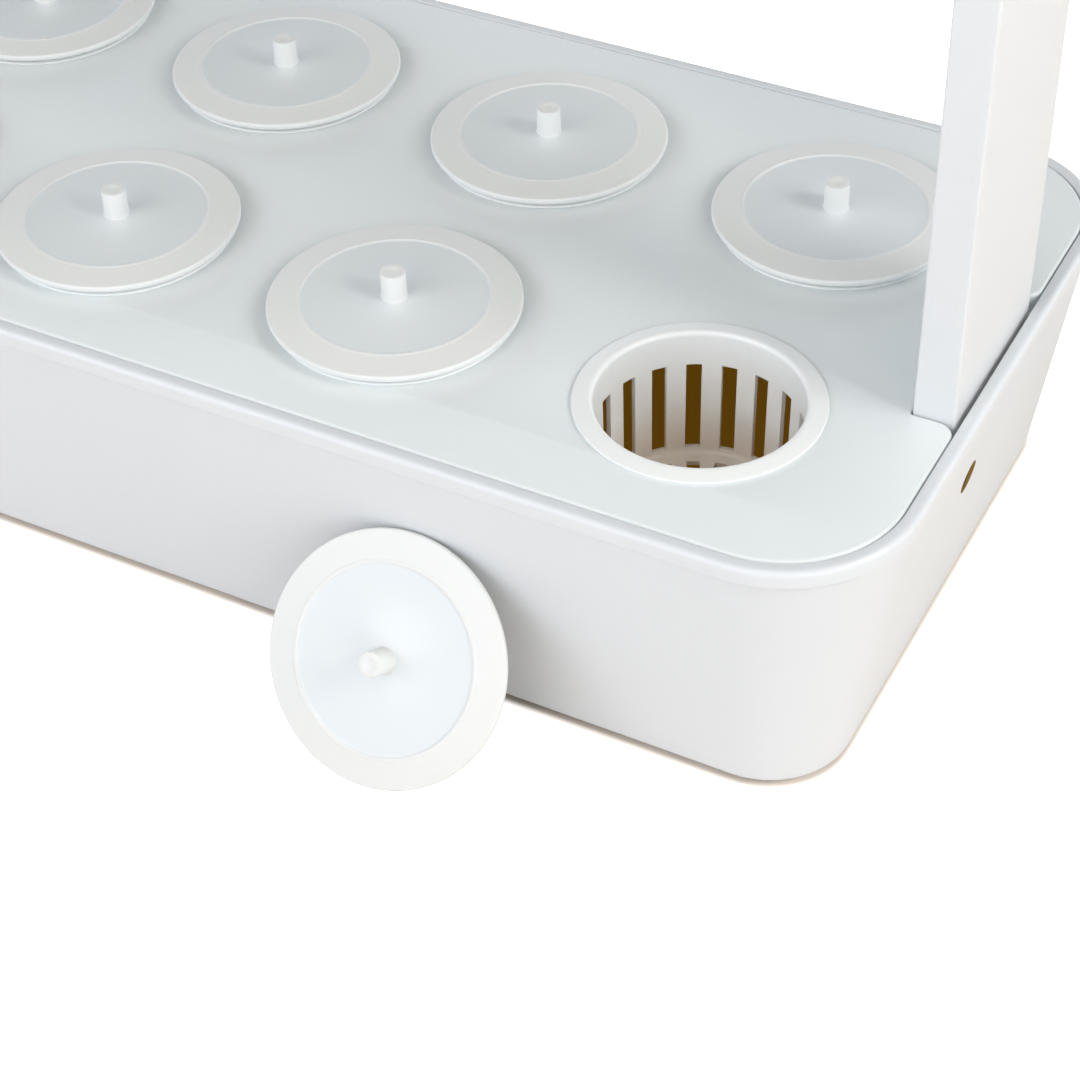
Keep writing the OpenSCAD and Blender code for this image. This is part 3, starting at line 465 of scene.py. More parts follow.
SHELL = moulded_plastic("shell", (0.725, 0.75, 0.775), 0.34)
INSIDE = moulded_plastic("basin_inside_painted_glow", (0.30, 0.185, 0.05), 0.5)
# Painted glow: the dark amber inside emits a dim amber light in place of light let in through the
# walls.
painted_glow(INSIDE, (0.068, 0.034, 0.002))
DECK = moulded_plastic("deck", (0.805, 0.85, 0.86), 0.34)
CUP = moulded_plastic("cup", (0.87, 0.885, 0.875), 0.32)
# Painted warm shade: the cups turn darker and warmer below 62 mm, fully so at 43 mm.
painted_warm_shade_below(CUP, (0.97, 0.87, 0.79), 43.0, 62.0)
CAP = moulded_plastic("cap", (0.78, 0.79, 0.775), 0.4)
CAP_FACE = moulded_plastic("cap_face", (0.745, 0.785, 0.80), 0.2)
POST = moulded_plastic("post", (0.73, 0.745, 0.76), 0.32)
MAST = moulded_plastic("mast", (0.72, 0.72, 0.71), 0.45)
FOOT_PLASTIC = moulded_plastic("foot_plastic", (0.6, 0.61, 0.61), 0.5)
FOOT_RUBBER = moulded_plastic("foot_rubber", (0.42, 0.43, 0.43), 0.75, 0.05)
STEEL = plain_metal("screw_steel", (0.62, 0.62, 0.64), 0.32)
NICKEL = plain_metal("nut_nickel", (0.68, 0.67, 0.63), 0.25)
INLET_BLACK = moulded_plastic("inlet_black", (0.02, 0.02, 0.022), 0.35, 0.1)
PUMP_BLACK = moulded_plastic("pump_black", (0.02, 0.021, 0.024), 0.42, 0.1)
ROTOR = moulded_plastic("rotor", (0.5, 0.52, 0.55), 0.4)
CERAMIC = moulded_plastic("shaft_ceramic", (0.82, 0.82, 0.78), 0.12)
PIPE = moulded_plastic("pipe", (0.66, 0.7, 0.72), 0.32)
LEAD = moulded_plastic("lead", (0.015, 0.015, 0.016), 0.45, 0.1)
LIGHT_PLATE = plain_metal("light_plate", (0.7, 0.71, 0.72), 0.38)
LED_BOARD = moulded_plastic("led_board", (0.85, 0.85, 0.82), 0.32)
DIFFUSER = moulded_plastic("diffuser", (0.86, 0.87, 0.87), 0.55, 0.006)
DRIVER = moulded_plastic("driver_board", (0.02, 0.12, 0.05), 0.35, 0.1)
BUTTON = moulded_plastic("button", (0.62, 0.65, 0.66), 0.35)

# ---------------------------------------------------------------- basin

TAB_L = 10.0
WELL_WALL = 2.4
PEDESTAL_X = POST_LOW[0] - TAB_L - CLEAR - WELL_WALL
PEDESTAL_W = POST_W + 2 * (CLEAR + WELL_WALL + 2)
POCKET_Z = POST_LOW[2]
WELL_Z = POCKET_Z - 4.0
WELL_END = 8.0
RIBS = 4
RIB_T = 2.4
RIB_LOW = 24.0
RIB_REACH = 4.6
INLET_Y = -11.6
INLET_Z = 51.5
INLET_R = 4.5


def draft_at(z):
    """How far down the drafted wall a height is: 0 under the lip and 1 at the base."""
    return (LIP_Z - z) / (LIP_Z - BASE_Z)


def outer_ring(z, inset=0.0):
    """The drafted wall's rounded rectangle at height z, drawn in by inset: every size changes in
    proportion to the height under the lip."""
    d = draft_at(z)
    l = RIM_L - 2 * LIP_STEP - 2 * (END_TAPER - LIP_STEP) * d - 2 * inset
    w = RIM_W - 2 * LIP_STEP - 2 * (SIDE_TAPER - LIP_STEP) * d - 2 * inset
    r = (RIM_R - LIP_STEP) + (BASE_R - RIM_R + LIP_STEP) * d - inset
    return (z, l, w, r)


def rim_ring(z, inset):
    """The upright lip's rounded rectangle at height z, drawn in by inset."""
    return (z, RIM_L - 2 * inset, RIM_W - 2 * inset, RIM_R - inset)


def make_basin():
    """Tub: a closed skin that runs up the drafted outside, round the lip and down the inside."""
    base_round, lip_round, inner_round = 2.5, 1.5, 5.0
    rings = []
    for rise in base_round * (1 - np.cos(np.linspace(0, np.pi / 2, 9))):
        inset = base_round - (base_round ** 2 - (base_round - rise) ** 2) ** 0.5
        rings.append(outer_ring(BASE_Z + rise, inset))
    rings += [outer_ring(z) for z in (8.0, 30.0, 52.0, LIP_Z - 1.5, LIP_Z - 0.35)]
    for inset, rise in ((LIP_STEP - 0.15, -0.08), (LIP_STEP - 0.5, 0.0), (0.3, 0.08),
                        (0.06, 0.35), (0.0, 0.8)):
        rings.append(rim_ring(LIP_Z + rise, inset))
    rings += [rim_ring(RIM_Z - lip_round + rise, inset)
              for inset, rise in quarter_arc(lip_round, 8)]
    pocket = (RIM_L - DECK_L) / 2 - DECK_GAP
    for inset, drop in ((pocket - 0.4, 0.0), (pocket - 0.12, 0.12), (pocket, 0.4), (pocket, LIP_H)):
        rings.append(rim_ring(RIM_Z - drop, inset))
    rings += [outer_ring(z, WALL) for z in (LIP_Z - 0.5, 50.0, 25.0)]
    rings += [outer_ring(FLOOR_Z + inner_round - rise, WALL + inset)
              for inset, rise in quarter_arc(inner_round, 8)]
    basin = make_piece("basin_shell", [loft(rings)], SHELL, "base", ["basin"])
    basin.data.materials.append(INSIDE)
    add_pedestals(basin)
    paint_inside(basin)


def add_pedestals(basin):
    """End pedestals and deck ribs joined to the tub, then the pockets, wells and inlet cut out."""
    half_w, sunk_z = PEDESTAL_W / 2, FLOOR_Z - 1
    end_low, end_high = [outer_ring(z)[1] / 2 - 1.0 for z in (sunk_z, LIP_Z)]
    block = box_solid((PEDESTAL_X, -half_w, sunk_z), (end_low, half_w, LIP_Z), (end_high, half_w))
    joins = [at_end(block, side) for side in (1, -1)]
    wall_low, wall_high = [outer_ring(z)[2] / 2 - 1.2 for z in (RIB_LOW, LIP_Z)]
    for place in range(RIBS):
        x = (place - (RIBS - 1) / 2) * (DECK_L - 2 * DECK_R - 20) / (RIBS - 1)
        far = x + RIB_T / 2
        rib = box_solid((x - RIB_T / 2, DECK_W / 2 - RIB_REACH, RIB_LOW), (far, wall_low, LIP_Z),
                        (far, wall_high))
        joins += [rib, mirrored(rib, (1, -1, 1))]
    pocket = box_solid((POST_LOW[0] - TAB_L - CLEAR, -POST_W / 2 - CLEAR, POCKET_Z),
                       (POST_HIGH[0] + CLEAR, POST_W / 2 + CLEAR, RIM_Z + 5))
    well = box_solid((PEDESTAL_X + WELL_WALL, -half_w + WELL_END, BASE_Z - 1),
                     (outer_ring(BASE_Z)[1] / 2 - WALL - 3, half_w - WELL_END, WELL_Z))
    inlet = rod(INLET_R, (PEDESTAL_X + 4, INLET_Y, INLET_Z), (RIM_L, INLET_Y, INLET_Z), HOLE_STEPS)
    cuts = [at_end(part, side) for side in (1, -1) for part in (pocket, well)]
    carve(basin, joins, cuts + [inlet])


def paint_inside(basin):
    """The faces of the water space take the darker, amber inside material, which also carries a
    painted glow.
    """
    count = len(basin.data.polygons)
    centres = np.zeros(count * 3)
    basin.data.polygons.foreach_get("center", centres)
    centres = centres.reshape(-1, 3) / MM
    z = centres[:, 2]
    d = np.clip(draft_at(z), 0, 1)
    half_l = RIM_L / 2 - LIP_STEP - (END_TAPER - LIP_STEP) * d - WALL * 0.6
    half_w = RIM_W / 2 - LIP_STEP - (SIDE_TAPER - LIP_STEP) * d - WALL * 0.6
    r = RIM_R - WALL
    corner = np.maximum(np.abs(centres[:, :2]) - np.stack([half_l - r, half_w - r], -1), 0)
    inside = (np.hypot(corner[:, 0], corner[:, 1]) < r) & (z > FLOOR_Z - 0.5) & (z < LIP_Z - 0.2)
    basin.data.polygons.foreach_set("material_index", inside.astype(np.int32))


# ---------------------------------------------------------------- deck

NOTCH_STEPS = 10
TIGHT_STEPS = 5


def arc(x, y, radius, start, stop, steps):
    """Points along an arc about (x, y), from one angle to another in degrees."""
    a = np.radians(np.linspace(start, stop, steps + 1))
    return np.stack([x + radius * np.cos(a), y + radius * np.sin(a)], -1)


def deck_outline(inset):
    """Outline of the deck drawn in by inset: rounded corners, and at each end a notch for the post
    with round outer mouths and tight inner corners. The point count never changes."""
    inner = POST_LOW[0] - CLEAR - inset
    front = -POST_W / 2 - CLEAR - inset
    back = POST_W / 2 + NOTCH_REAR + inset
    mouth = NOTCH_R - inset
    tight = 0.8 + inset
    end = DECK_L / 2 - inset
    side = DECK_W / 2 - inset
    r = DECK_R - inset
    half = np.concatenate([
        [[0, -side], [end - r - 1, -side]],
        arc(end - r, -side + r, r, -90, 0, CORNER_STEPS),
        [[end, -side + r + 1], [end, front - mouth - 1]],
        arc(end - mouth, front - mouth, mouth, 0, 90, NOTCH_STEPS),
        [[inner + tight + 0.5, front]],
        arc(inner + tight, front + tight, tight, 270, 180, TIGHT_STEPS),
        arc(inner + tight, back - tight, tight, 180, 90, TIGHT_STEPS),
        [[inner + tight + 0.5, back]],
        arc(end - mouth, back + mouth, mouth, -90, 0, NOTCH_STEPS),
        [[end, back + mouth + 1], [end, side - r - 1]],
        arc(end - r, side - r, r, 0, 90, CORNER_STEPS),
        [[end - r - 1, side]],
    ])
    left = half[::-1] * [-1, 1]
    return np.concatenate([half, left[:-1]])


def circle(x, y, radius, z):
    """Loop of points round a hole in the deck."""
    a = np.linspace(0, 2 * np.pi, HOLE_STEPS, endpoint=False)
    return np.stack([x + radius * np.cos(a), y + radius * np.sin(a), np.full(HOLE_STEPS, z)], -1)


def flat_fill(outline, holes, upward):
    """Flat face inside an outline and round its holes, cut into triangles."""
    loops = [outline] + holes
    points = np.concatenate(loops)
    triangles = tessellate_polygon([[Vector(p) for p in loop] for loop in loops])
    faces = []
    for a, b, c in triangles:
        normal = np.cross(points[b] - points[a], points[c] - points[a])[2]
        faces.append([a, b, c] if (normal > 0) == upward else [c, b, a])
    return points, faces


def make_deck():
    """Deck: a plate with a rounded edge and a skirt, round collars under its holes, and ribs."""
    edge, hole_edge = 1.0, 0.5
    plate_low = RIM_Z - DECK_T
    rib_z, rib_top = plate_low - COLLAR_DEPTH, plate_low + 0.3
    skirt = [(WEB, plate_low), (WEB, LIP_Z), (0.2, LIP_Z), (0, LIP_Z + 0.2)]
    skirt += [(inset, RIM_Z - edge + rise) for inset, rise in quarter_arc(edge, 6)]
    loops = []
    for inset, z in skirt:
        outline = deck_outline(inset)
        loops.append(np.c_[outline, np.full(len(outline), z)])
    parts = [(np.concatenate(loops), grid_faces(len(loops), len(loops[0])))]
    collar = [(HOLE_R + inset, RIM_Z - hole_edge + rise)
              for inset, rise in reversed(quarter_arc(hole_edge, 4))]
    collar += [(HOLE_R, rib_z + 0.2), (HOLE_R + 0.2, rib_z),
               (HOLE_R + WEB, rib_z), (HOLE_R + WEB, plate_low)]
    tops, unders = [], []
    for x, y, _ in SITES.values():
        rings = [circle(x, y, r, z) for r, z in collar]
        parts.append((np.concatenate(rings), grid_faces(len(rings), HOLE_STEPS)))
        tops.append(rings[0])
        unders.append(rings[-1])
    parts.append(flat_fill(loops[-1], tops, True))
    parts.append(flat_fill(loops[0], unders, False))
    first_x, last_x = SITES[1][0], SITES[COLUMNS][0]
    pitch = SITES[2][0] - first_x
    for place in range(COLUMNS - 1):
        x = first_x + pitch * (place + 0.5)
        parts.append(box_solid((x - WEB / 2, -DECK_W / 2 + 1, rib_z),
                               (x + WEB / 2, DECK_W / 2 - 1, rib_top)))
    middle = (SITES[1][1] + SITES[COLUMNS + 1][1]) / 2
    for y in (middle - 8, middle + 8):
        parts.append(box_solid((first_x - 20, y - WEB / 2, rib_z),
                               (last_x + 20, y + WEB / 2, rib_top)))
    make_piece("deck_plate", parts, DECK, "deck", ["deck"])


# ---------------------------------------------------------------- net cups

SLOT_STEPS = 4
FLOOR_ROWS = 4
WIDEST_SLOT = 0.34


def cup_columns(radius, on_floor):
    """Angles of the cup's columns on a ring of each radius: every slot and every bar between slots
    gets the same steps, and a slot's two edges stay parallel, half its width from its middle
    line. Also which of the columns are a slot's."""
    step = 2 * np.pi / SLOTS
    width = np.where(on_floor, FLOOR_SLOT_W, SLOT_W)
    half = np.arcsin(np.minimum(width / 2 / radius, 1.0))
    half = np.minimum(half, WIDEST_SLOT * step)[:, None]
    t = np.arange(SLOT_STEPS) / SLOT_STEPS
    one = np.concatenate([-half + 2 * half * t, half + (step - 2 * half) * t], 1)
    angles = one[:, None, :] + CUP_TURN + step * np.arange(SLOTS)[None, :, None]
    is_slot = np.tile(np.arange(2 * SLOT_STEPS) < SLOT_STEPS, SLOTS)
    return angles.reshape(len(radius), -1), is_slot


def cup_profile():
    """Half section of a net cup: out across the floor, up the inside, over the sloping flange, down
    the outside and in across the underside. Also the rows at which the slots start in the floor,
    the inside, the outside and the underside."""
    floor_t, floor_round, mouth, edge_h, edge_round = 1.6, 1.2, 1.1, 0.8, 0.4
    floor_z = -CUP_H + floor_t
    slot_top, slot_low = -CUP_COLLAR, -CUP_COLLAR - SLOT_H
    wall_top, wall_low = [CUP_R + z * CUP_DRAFT for z in (slot_top, slot_low)]
    low_in = CUP_R - CUP_H * CUP_DRAFT
    land, flange = CUP_R + 1.5, FLANGE_R - 0.25
    reach = flange - edge_round - land
    hub, slot_in, slot_out = 2.5, 14.0, low_in - 3.7
    profile = [(r, floor_z) for r in (hub, slot_in, slot_out, low_in - floor_round)]
    profile += [(low_in - floor_round + floor_round * np.sin(a),
                 floor_z + floor_round * (1 - np.cos(a))) for a in np.radians((30, 60, 85))]
    inside = len(profile)
    profile += [(wall_low, slot_low), (wall_top, slot_top), (CUP_R, -0.2), (CUP_R, CREST_H - mouth)]
    profile += [(CUP_R + mouth * (1 - np.cos(a)), CREST_H - mouth * (1 - np.sin(a)))
                for a in np.radians((22, 45, 67, 90))]
    profile += [(land + reach * t, CREST_H - (CREST_H - edge_h) * t) for t in np.linspace(0, 1, 5)]
    profile += [(flange - edge_round + edge_round * np.sin(a),
                 edge_h - edge_round + edge_round * np.cos(a)) for a in np.radians((30, 60, 90))]
    profile += [(flange - 0.15, 0.1), (flange - 0.3, 0.0), (CUP_R + CUP_WALL, 0.0)]
    outside = len(profile)
    profile += [(wall_top + CUP_WALL, slot_top), (wall_low + CUP_WALL, slot_low),
                (low_in + CUP_WALL, -CUP_H + 0.6), (low_in + CUP_WALL - 0.2, -CUP_H + 0.2),
                (low_in + CUP_WALL - 0.6, -CUP_H)]
    under = len(profile)
    profile += [(r, -CUP_H) for r in (slot_out, slot_in, hub)]
    return np.array(profile), (1, inside, outside, under)


def make_cup(number):
    """Net cup: its half section turned about its axis, with the faces of the slots left out and
    walls set round each slot."""
    x, y, _ = SITES[number]
    profile, slot_rows = cup_profile()
    floor, inside, outside, under = slot_rows
    rows = np.arange(len(profile))
    on_floor = (rows < FLOOR_ROWS) | (rows >= under)
    angles, is_slot = cup_columns(profile[:, 0], on_floor)
    count = len(is_slot)
    radius, height = profile[:, 0:1], profile[:, 1:2]
    points = np.stack([x + radius * np.cos(angles), y + radius * np.sin(angles),
                       RIM_Z + height + 0 * angles], -1).reshape(-1, 3)
    k, i = np.meshgrid(rows, np.arange(count), indexing="ij")
    j, m = (i + 1) % count, (k + 1) % len(rows)
    quads = np.stack([k * count + i, k * count + j, m * count + j, m * count + i], -1)
    keep = ~(np.isin(rows, slot_rows)[:, None] & is_slot[None, :])
    faces = quads[keep].tolist()
    slots = np.where(is_slot & ~np.roll(is_slot, 1))[0]
    for ends in (((inside, inside + 1), (outside + 1, outside)),
                 ((floor, floor + 1), (under + 1, under))):
        for slot in slots:
            near, far = [[row * count + (slot + s) % count for s in range(SLOT_STEPS + 1)]
                         + [back * count + (slot + s) % count for s in range(SLOT_STEPS, -1, -1)]
                         for row, back in ends]
            faces += zip(near, near[1:] + near[:1], far[1:] + far[:1], far)
    make_piece(f"cup_{number}", [(points, [face[::-1] for face in faces])], CUP, f"cup_{number}",
               [f"net_cup_{number}"], bevel=0.15)


# ---------------------------------------------------------------- caps

CAP_STEPS = 144


def cap_profile():
    """Half section of a cap, from the middle of its underside to the rim that stands clear of the
    flange, over the rounded edge, up the coned ring to the bead, and over the face to the nub."""
    rim_low, rim_high, rim_round = 0.85, 2.45, 0.6
    bead_w, bead_h, face = 1.0, 0.13, CAP_TOP - STEP_H
    spigot = CUP_R - CLEAR - SPIGOT_H * CUP_DRAFT
    under = [(0, 0), (spigot - 1.8, 0), (spigot - 1.4, -0.4), (spigot - 1.4, -SPIGOT_H + 0.4),
             (spigot - 1.0, -SPIGOT_H), (spigot - 0.4, -SPIGOT_H), (spigot, -SPIGOT_H + 0.4),
             (spigot, -0.1), (spigot + 0.1, 0), (CUP_R + 2.0, 0), (CAP_R - 0.4, rim_low),
             (CAP_R - 0.12, rim_low + 0.1), (CAP_R, rim_low + 0.35)]
    rim = [(CAP_R - rim_round * (1 - np.cos(a)), rim_high - rim_round * (1 - np.sin(a)))
           for a in np.linspace(0, np.pi / 2, 9)]
    bead = [(STEP_R + bead_w / 2 + bead_w / 2 * np.cos(a), CAP_TOP + bead_h * np.sin(a))
            for a in np.radians((0, 30, 60, 90, 120, 150))]
    step = [(STEP_R, CAP_TOP), (STEP_R - 0.1, face + 0.1), (STEP_R - 0.3, face),
            (STEP_R - 1.0, face)]
    foot = [(NUB_R + 0.5, face), (NUB_R + 0.2, face + 0.1), (NUB_R + 0.05, face + 0.35)]
    top = CAP_T - 0.5 + NUB_H
    nub = [(NUB_R, face + 0.7), (NUB_R - 0.1, top - 0.35), (NUB_R - 0.18, top - 0.1),
           (NUB_R - 0.4, top), (1.9, top), (1.7, top - 0.06), (1.1, top - 0.3),
           (0.8, top - 0.34), (0, top - 0.34)]
    return under + rim + bead + step + foot + nub


def make_cap(number):
    """Cap on its cup, or the loose one that leans on the front wall: its section turned about its
    axis, then tilted back about the garden's length. Its sunk face takes a finish of its own."""
    low, high = node_box(f"cap_{number}")
    points, faces = revolve(cap_profile(), np.zeros(3), CAP_STEPS)
    middles = points[np.array(faces)].mean(1)
    radius = np.hypot(middles[:, 0], middles[:, 1])
    sunk = (radius < STEP_R - 0.2) & (radius > NUB_R + 0.3) & (middles[:, 2] > 0.5)
    if number == LEAN_CAP:
        tilt = np.pi / 2 - LEAN_TILT
        x, y, z = points[:, 0], points[:, 1], points[:, 2] - CAP_T / 2
        points = np.stack([x, y * np.cos(tilt) - z * np.sin(tilt),
                           y * np.sin(tilt) + z * np.cos(tilt)], -1)
        points[:, 0] += (low[0] + high[0]) / 2
        points[:, 1:] += low[1:] - points[:, 1:].min(0)
    else:
        x, y = (low[:2] + high[:2]) / 2
        points = points + [x, y, RIM_Z + CREST_H]
    order = np.argsort(sunk, kind="stable")
    cap = make_piece(f"cap_{number}_disc", [(points, [faces[n] for n in order])], CAP,
                     f"cap_{number}_body", [f"cap_{number}"])
    cap.data.materials.append(CAP_FACE)
    index = np.zeros(len(cap.data.polygons), dtype=np.int32)
    index[len(index) - int(sunk.sum()):] = 1
    cap.data.polygons.foreach_set("material_index", index)


# ---------------------------------------------------------------- posts, masts and collars

MAST_GAP = 0.2
MAST_WALL = 1.2


def tube(outer, bore, z0, z1, edge):
    """Closed rectangular tube from an outer and a bore's (length, width, radius): outside up, over
    a rounded top edge, down the bore and back."""
    l, w, r = outer
    rings = [(z0, l - 2 * edge, w - 2 * edge, r), (z0 + edge, l, w, r)]
    rings += [(z1 - edge + rise, l - 2 * inset, w - 2 * inset, max(r - inset, 0.1))
              for inset, rise in quarter_arc(edge, 4)]
    rings += [(z1, *bore), (z0, *bore)]
    points, faces = loft(rings, closed=False)
    last = (len(rings) - 1) * LOOP_COUNT
    for i in range(LOOP_COUNT):
        j = (i + 1) % LOOP_COUNT
        faces.append([last + i, last + j, j, i])
    return points, faces


def moved(part, x):
    """The part moved along the garden's length."""
    points, faces = part
    return points + [x, 0, 0], faces


def make_posts():
    """The two hollow posts, their collars and the masts that slide in them."""
    bore = (POST_T - 2 * POST_WALL, POST_W - 2 * POST_WALL, 0.3)
    slide = (MAST_T + 2 * MAST_GAP, MAST_W + 2 * MAST_GAP, 0.3)
    bezel_size = (COLLAR_HIGH[0] - COLLAR_LOW[0], COLLAR_HIGH[1] - COLLAR_LOW[1], 1.4)
    sleeve_size = (bore[0] - 0.2, bore[1] - 0.2, 0.3)
    mast_bore = (MAST_T - 2 * MAST_WALL, MAST_W - 2 * MAST_WALL, 0.2)
    post = tube((POST_T, POST_W, POST_EDGE), bore, POST_LOW[2], POST_HIGH[2], 0.3)
    bezel = tube(bezel_size, slide, POST_HIGH[2], COLLAR_HIGH[2], 0.6)
    sleeve = tube(sleeve_size, slide, COLLAR_LOW[2], POST_HIGH[2] + 0.2, 0.1)
    mast = tube((MAST_T, MAST_W, 0.5), mast_bore, MAST_LOW[2], MAST_HIGH[2], 0.2)
    for side, name in ((1, "right"), (-1, "left")):
        x = side * POST_X
        make_piece(f"{name}_post_tube", [moved(post, x)], POST, "base", [f"{name}_post"])
        make_piece(f"{name}_collar_bezel", [moved(bezel, x), moved(sleeve, x)], SHELL, "base",
                   [f"{name}_collar"])
        make_piece(f"{name}_mast_bar", [moved(mast, x)], MAST, "light", [f"{name}_mast"])


# ---------------------------------------------------------------- grow light

HOOD_L = HOOD_HIGH[0] - HOOD_LOW[0]
HOOD_W = HOOD_HIGH[1] - HOOD_LOW[1]
HOOD_R = 26.0
HOOD_Z = HOOD_LOW[2]
HOOD_TOP = HOOD_HIGH[2]
HOOD_LIP = 0.9
HOOD_CROWN = 8.0
HOOD_DRAW = 1.2
MOUTH_L = 2 * (POST_LOW[0] - 6)
MOUTH_W = HOOD_W - 12
MOUTH_R = 14.0
LEDGE = 3.0
DIFFUSER_T = 2.0
LEDGE_Z = HOOD_Z + 1 + DIFFUSER_T
BUTTON_R = 5.5


def hood_ring(z, inset):
    """The hood's rounded rectangle at height z, drawn in by inset."""
    return (z, HOOD_L - 2 * inset, HOOD_W - 2 * inset, HOOD_R - inset)


def mouth_ring(z, reach):
    """The rounded rectangle of the hood's mouth at height z, let out by reach."""
    return (z, MOUTH_L + 2 * reach, MOUTH_W + 2 * reach, MOUTH_R + reach)


def make_hood():
    """Light hood: rounded slab with soft top edges, and under it a ledge for the diffuser and the
    room for the plate and boards."""
    rings = [mouth_ring(LEDGE_Z + 8, 0), mouth_ring(LEDGE_Z, 0), mouth_ring(LEDGE_Z, LEDGE),
             mouth_ring(HOOD_Z + 0.2, LEDGE), mouth_ring(HOOD_Z, LEDGE + 0.2)]
    rings += [hood_ring(HOOD_Z + HOOD_LIP - rise, inset)
              for inset, rise in reversed(quarter_arc(HOOD_LIP, 5))]
    shoulder = HOOD_TOP - HOOD_Z - HOOD_CROWN
    for t in np.linspace(0.1, 1, 4):
        rings.append(hood_ring(HOOD_Z + HOOD_LIP + (shoulder - HOOD_LIP) * t, HOOD_DRAW * t * t))
    for a in np.linspace(0, np.pi / 2, 15)[1:]:
        inset = HOOD_DRAW + 0.6 * np.sin(a) + 6.4 * (1 - np.cos(a))
        rings.append(hood_ring(HOOD_Z + shoulder + HOOD_CROWN * np.sin(a), inset))
    hood = make_piece("hood_cover", [loft(rings)], SHELL, "light", ["hood_shell"])
    mast_hole = box_solid((POST_X - MAST_T / 2 - 0.1, -MAST_W / 2 - 0.1, HOOD_Z - 1),
                          (POST_X + MAST_T / 2 + 0.1, MAST_W / 2 + 0.1, HOOD_Z + 14))
    end, screw_z = HOOD_L / 2, HOOD_Z + 8
    screw_holes = [rod(3.4, (end - 3, y, screw_z), (end + 5, y, screw_z)) for y in (-14, 14)]
    x, y, _ = (BUTTON_LOW + BUTTON_HIGH) / 2
    button_hole = rod(BUTTON_R + 0.2, (x, y, HOOD_TOP - 2.5), (x, y, HOOD_TOP + 5), HOLE_STEPS)
    cuts = [at_end(part, side) for side in (1, -1) for part in [mast_hole] + screw_holes]
    carve(hood, [], cuts + [button_hole])


def make_button():
    """Push button: a low cylinder with a soft edge and a shallow dish on top."""
    x, y, _ = (BUTTON_LOW + BUTTON_HIGH) / 2
    r, top, low, soft = BUTTON_R, BUTTON_HIGH[2], BUTTON_LOW[2], 0.6
    profile = [(0, low), (r + 1.4, low), (r + 1.4, low + 1), (r, low + 1), (r, top - 0.7)]
    profile += [(r - soft + soft * np.cos(a), top - soft + soft * np.sin(a))
                for a in np.linspace(0.2, np.pi / 2, 6)]
    profile += [(r - 1.4, top), (r - 2.2, top - 0.15), (r - 3.2, top - 0.4),
                (r - 4.4, top - 0.52), (0, top - 0.56)]
    part = revolve(profile, np.array([x, y, 0.0]), HOLE_STEPS)
    make_piece("light_button_cap", [part], BUTTON, "light_button", ["light_button"])


# ---------------------------------------------------------------- CAD nodes that stay

NODE_FINISH = {
    "feet": FOOT_RUBBER, "pump_suckers": FOOT_RUBBER, "lead_grommet": PUMP_BLACK,
    "right_post_foot": FOOT_PLASTIC, "left_post_foot": FOOT_PLASTIC,
    "post_screws": STEEL, "cover_screws": STEEL, "hood_screws": STEEL, "plate_screws": STEEL,
    "button_spring": STEEL, "well_cover": SHELL, "dc_inlet": INLET_BLACK, "inlet_nut": NICKEL,
    "pump_body": PUMP_BLACK, "pump_grille": PUMP_BLACK, "impeller": ROTOR, "pump_shaft": CERAMIC,
    "outlet_pipe": PIPE, "pump_lead": LEAD, "light_plate": LIGHT_PLATE,
    "led_board_front": LED_BOARD, "led_board_rear": LED_BOARD, "diffuser": DIFFUSER,
    "driver_board": DRIVER,
}


def finish_nodes():
    """Gives each CAD node that stays its material."""
    for name, material in NODE_FINISH.items():
        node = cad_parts[name]
        for material_slot in node.material_slots:
            material_slot.link = "OBJECT"
            material_slot.material = material


# ---------------------------------------------------------------- studio

FLOOR_REACH = 4.0
TABLE_GLOW = 1.0
TABLE_TOP = np.array((0.55, 0.50, 0.45))
HORIZON = (0.80, 0.90, 1.0)
HORIZON_LIGHT = 1.6
HORIZON_FULL, HORIZON_END = 0.2, 0.56
SOFT_BOX_AIM = Vector((0.03, 0.0, 0.08))
SOFT_BOX_AWAY = 2.2


def vector_step(tree, operation, value, other=None):
    """One step of arithmetic on a position."""
    step = tree.nodes.new("ShaderNodeVectorMath")
    step.operation = operation
    tree.links.new(value, step.inputs[0])
    if other is not None:
        step.inputs[1].default_value = other
    return step.outputs["Value" if operation == "LENGTH" else "Vector"]


def make_floor():
    """Wide pale floor, lit evenly from below like a light table, but not under the basin: its glow
    fades where the distance to the base's rounded rectangle falls to nothing, which paints a thin
    contact shade round the basin's foot. The glow lights nothing but the floor."""
    mesh = bpy.data.meshes.new("floor")
    corners = [(x * FLOOR_REACH, y * FLOOR_REACH, 0) for x, y in CORNERS]
    mesh.from_pydata(corners, [], [(0, 1, 2, 3)])
    material, tree, shader, where = new_material("floor")
    pattern = noise(tree, where, 8.0)
    tree.links.new(tint(tree, pattern, TABLE_TOP * 0.97, TABLE_TOP), shader.inputs["Base Color"])
    shader.inputs["Roughness"].default_value = 0.8
    shader.inputs["Specular IOR Level"].default_value = 0.0
    shader.inputs["Emission Color"].default_value = (1.0, 1.0, 1.0, 1.0)
    _, base_l, base_w, base_r = outer_ring(BASE_Z)
    half = [v * MM for v in (base_l / 2 - base_r, base_w / 2 - base_r, 0.0)]
    beyond = vector_step(tree, "SUBTRACT", vector_step(tree, "ABSOLUTE", where), half)
    beyond = vector_step(tree, "MAXIMUM", beyond, (0.0, 0.0, 0.0))
    distance = vector_step(tree, "LENGTH", beyond)
    # Painted contact shade: the glow fades out from 2 mm outside the base's outline to 1 mm inside
    # it.
    glow = ranged(tree, distance, (base_r - 1.0) * MM, (base_r + 2.0) * MM, 0.0, TABLE_GLOW,
                  smooth=True)
    tree.links.new(glow, shader.inputs["Emission Strength"])
    mesh.materials.append(material)
    floor = add_object("floor", mesh)
    lit = bpy.data.collections.new("lit_by_floor")
    lit.objects.link(floor)
    floor.light_linking.receiver_collection = lit


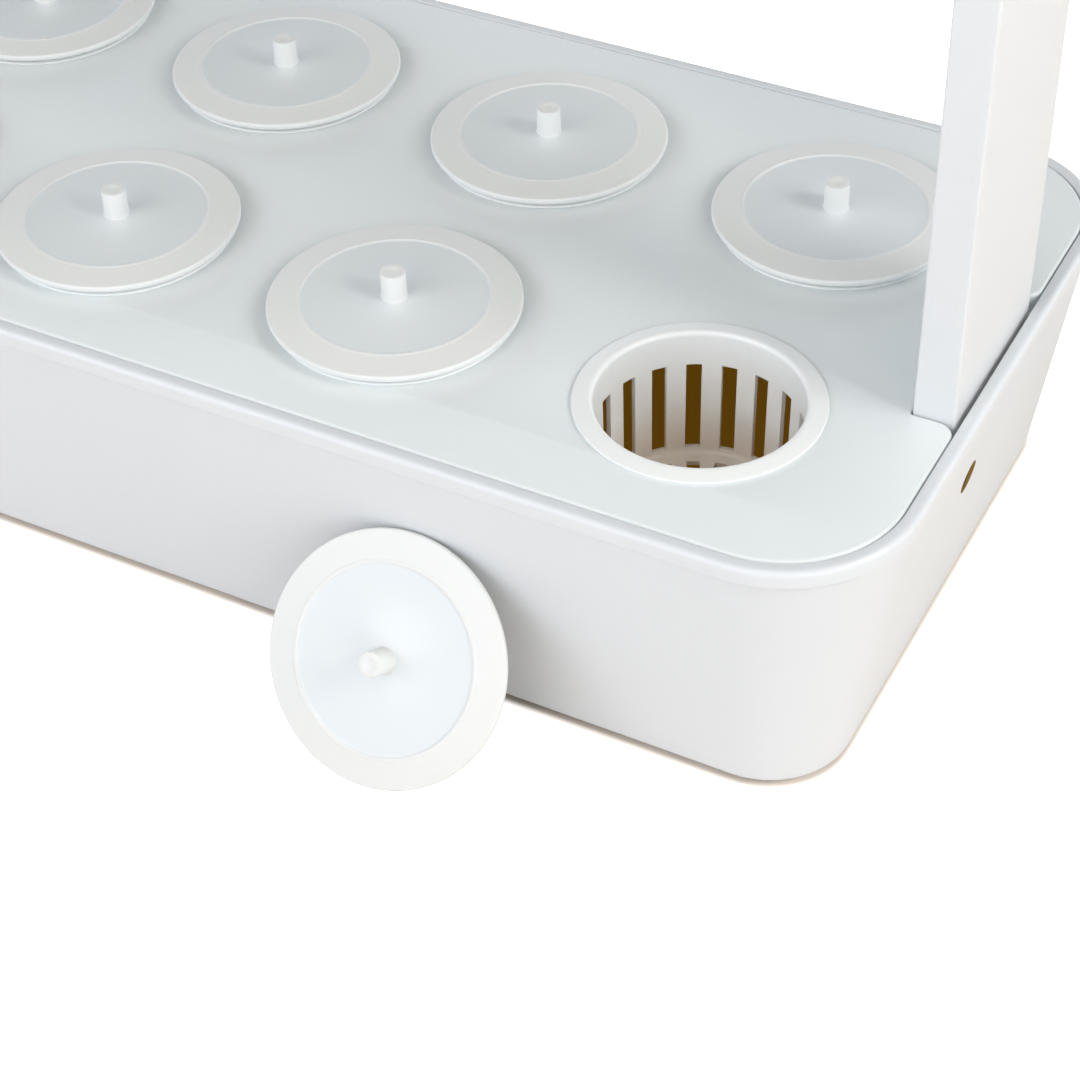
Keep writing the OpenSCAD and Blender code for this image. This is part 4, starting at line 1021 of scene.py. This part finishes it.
def soft_box(name, azimuth, elevation, width, height, power, colour):
    """A soft box, turned to face the garden, at an azimuth and an elevation in degrees."""
    data = bpy.data.lights.new(name, "AREA")
    data.shape = "RECTANGLE"
    data.size, data.size_y = width, height
    data.energy = power
    data.color = colour
    light = add_object(name, data)
    turn, rise = np.radians(azimuth), np.radians(elevation)
    away = Vector((np.cos(rise) * np.cos(turn), np.cos(rise) * np.sin(turn), np.sin(rise)))
    light.location = SOFT_BOX_AIM + away * SOFT_BOX_AWAY
    light.rotation_euler = (-away).to_track_quat("-Z", "Y").to_euler()


def make_sky():
    """A pale horizon all round, which fades with height and leaves the ceiling dark."""
    world = bpy.data.worlds.new("studio")
    world.use_nodes = True
    tree = world.node_tree
    background = tree.nodes["Background"]
    background.inputs["Color"].default_value = (*HORIZON, 1.0)
    where = tree.nodes.new("ShaderNodeTexCoord")
    height = height_of(tree, where.outputs["Generated"])
    fade = ranged(tree, height, HORIZON_FULL, HORIZON_END, HORIZON_LIGHT, 0.0, smooth=True)
    tree.links.new(fade, background.inputs["Strength"])
    bpy.context.scene.world = world


def make_light():
    """A large soft box to the right and a wide one in front, small ones between them and to the
    left, and two high ones, one over the front and one behind the right end."""
    soft_box("right", 0.0, 34.0, 0.94, 0.94, 21.7, (1.0, 0.97, 0.94))
    soft_box("front", -105.0, 34.0, 2.05, 0.94, 18.2, (1.0, 0.97, 0.98))
    soft_box("key", -40.0, 34.0, 0.385, 0.385, 3.4, (1.0, 0.88, 0.72))
    soft_box("left", -138.0, 31.0, 0.4, 0.4, 2.0, (0.95, 0.98, 1.0))
    soft_box("high", 45.0, 57.0, 0.94, 0.94, 3.8, (1.0, 0.97, 0.84))
    soft_box("over", -80.0, 66.0, 0.94, 0.94, 7.0, (1.0, 0.98, 0.92))
    bpy.context.scene.view_settings.view_transform = "Standard"


make_basin()
make_deck()
for site in SITES:
    make_cup(site)
    make_cap(site)
make_posts()
make_hood()
make_button()
finish_nodes()
make_floor()
make_sky()
make_light()

bpy.context.view_layer.update()
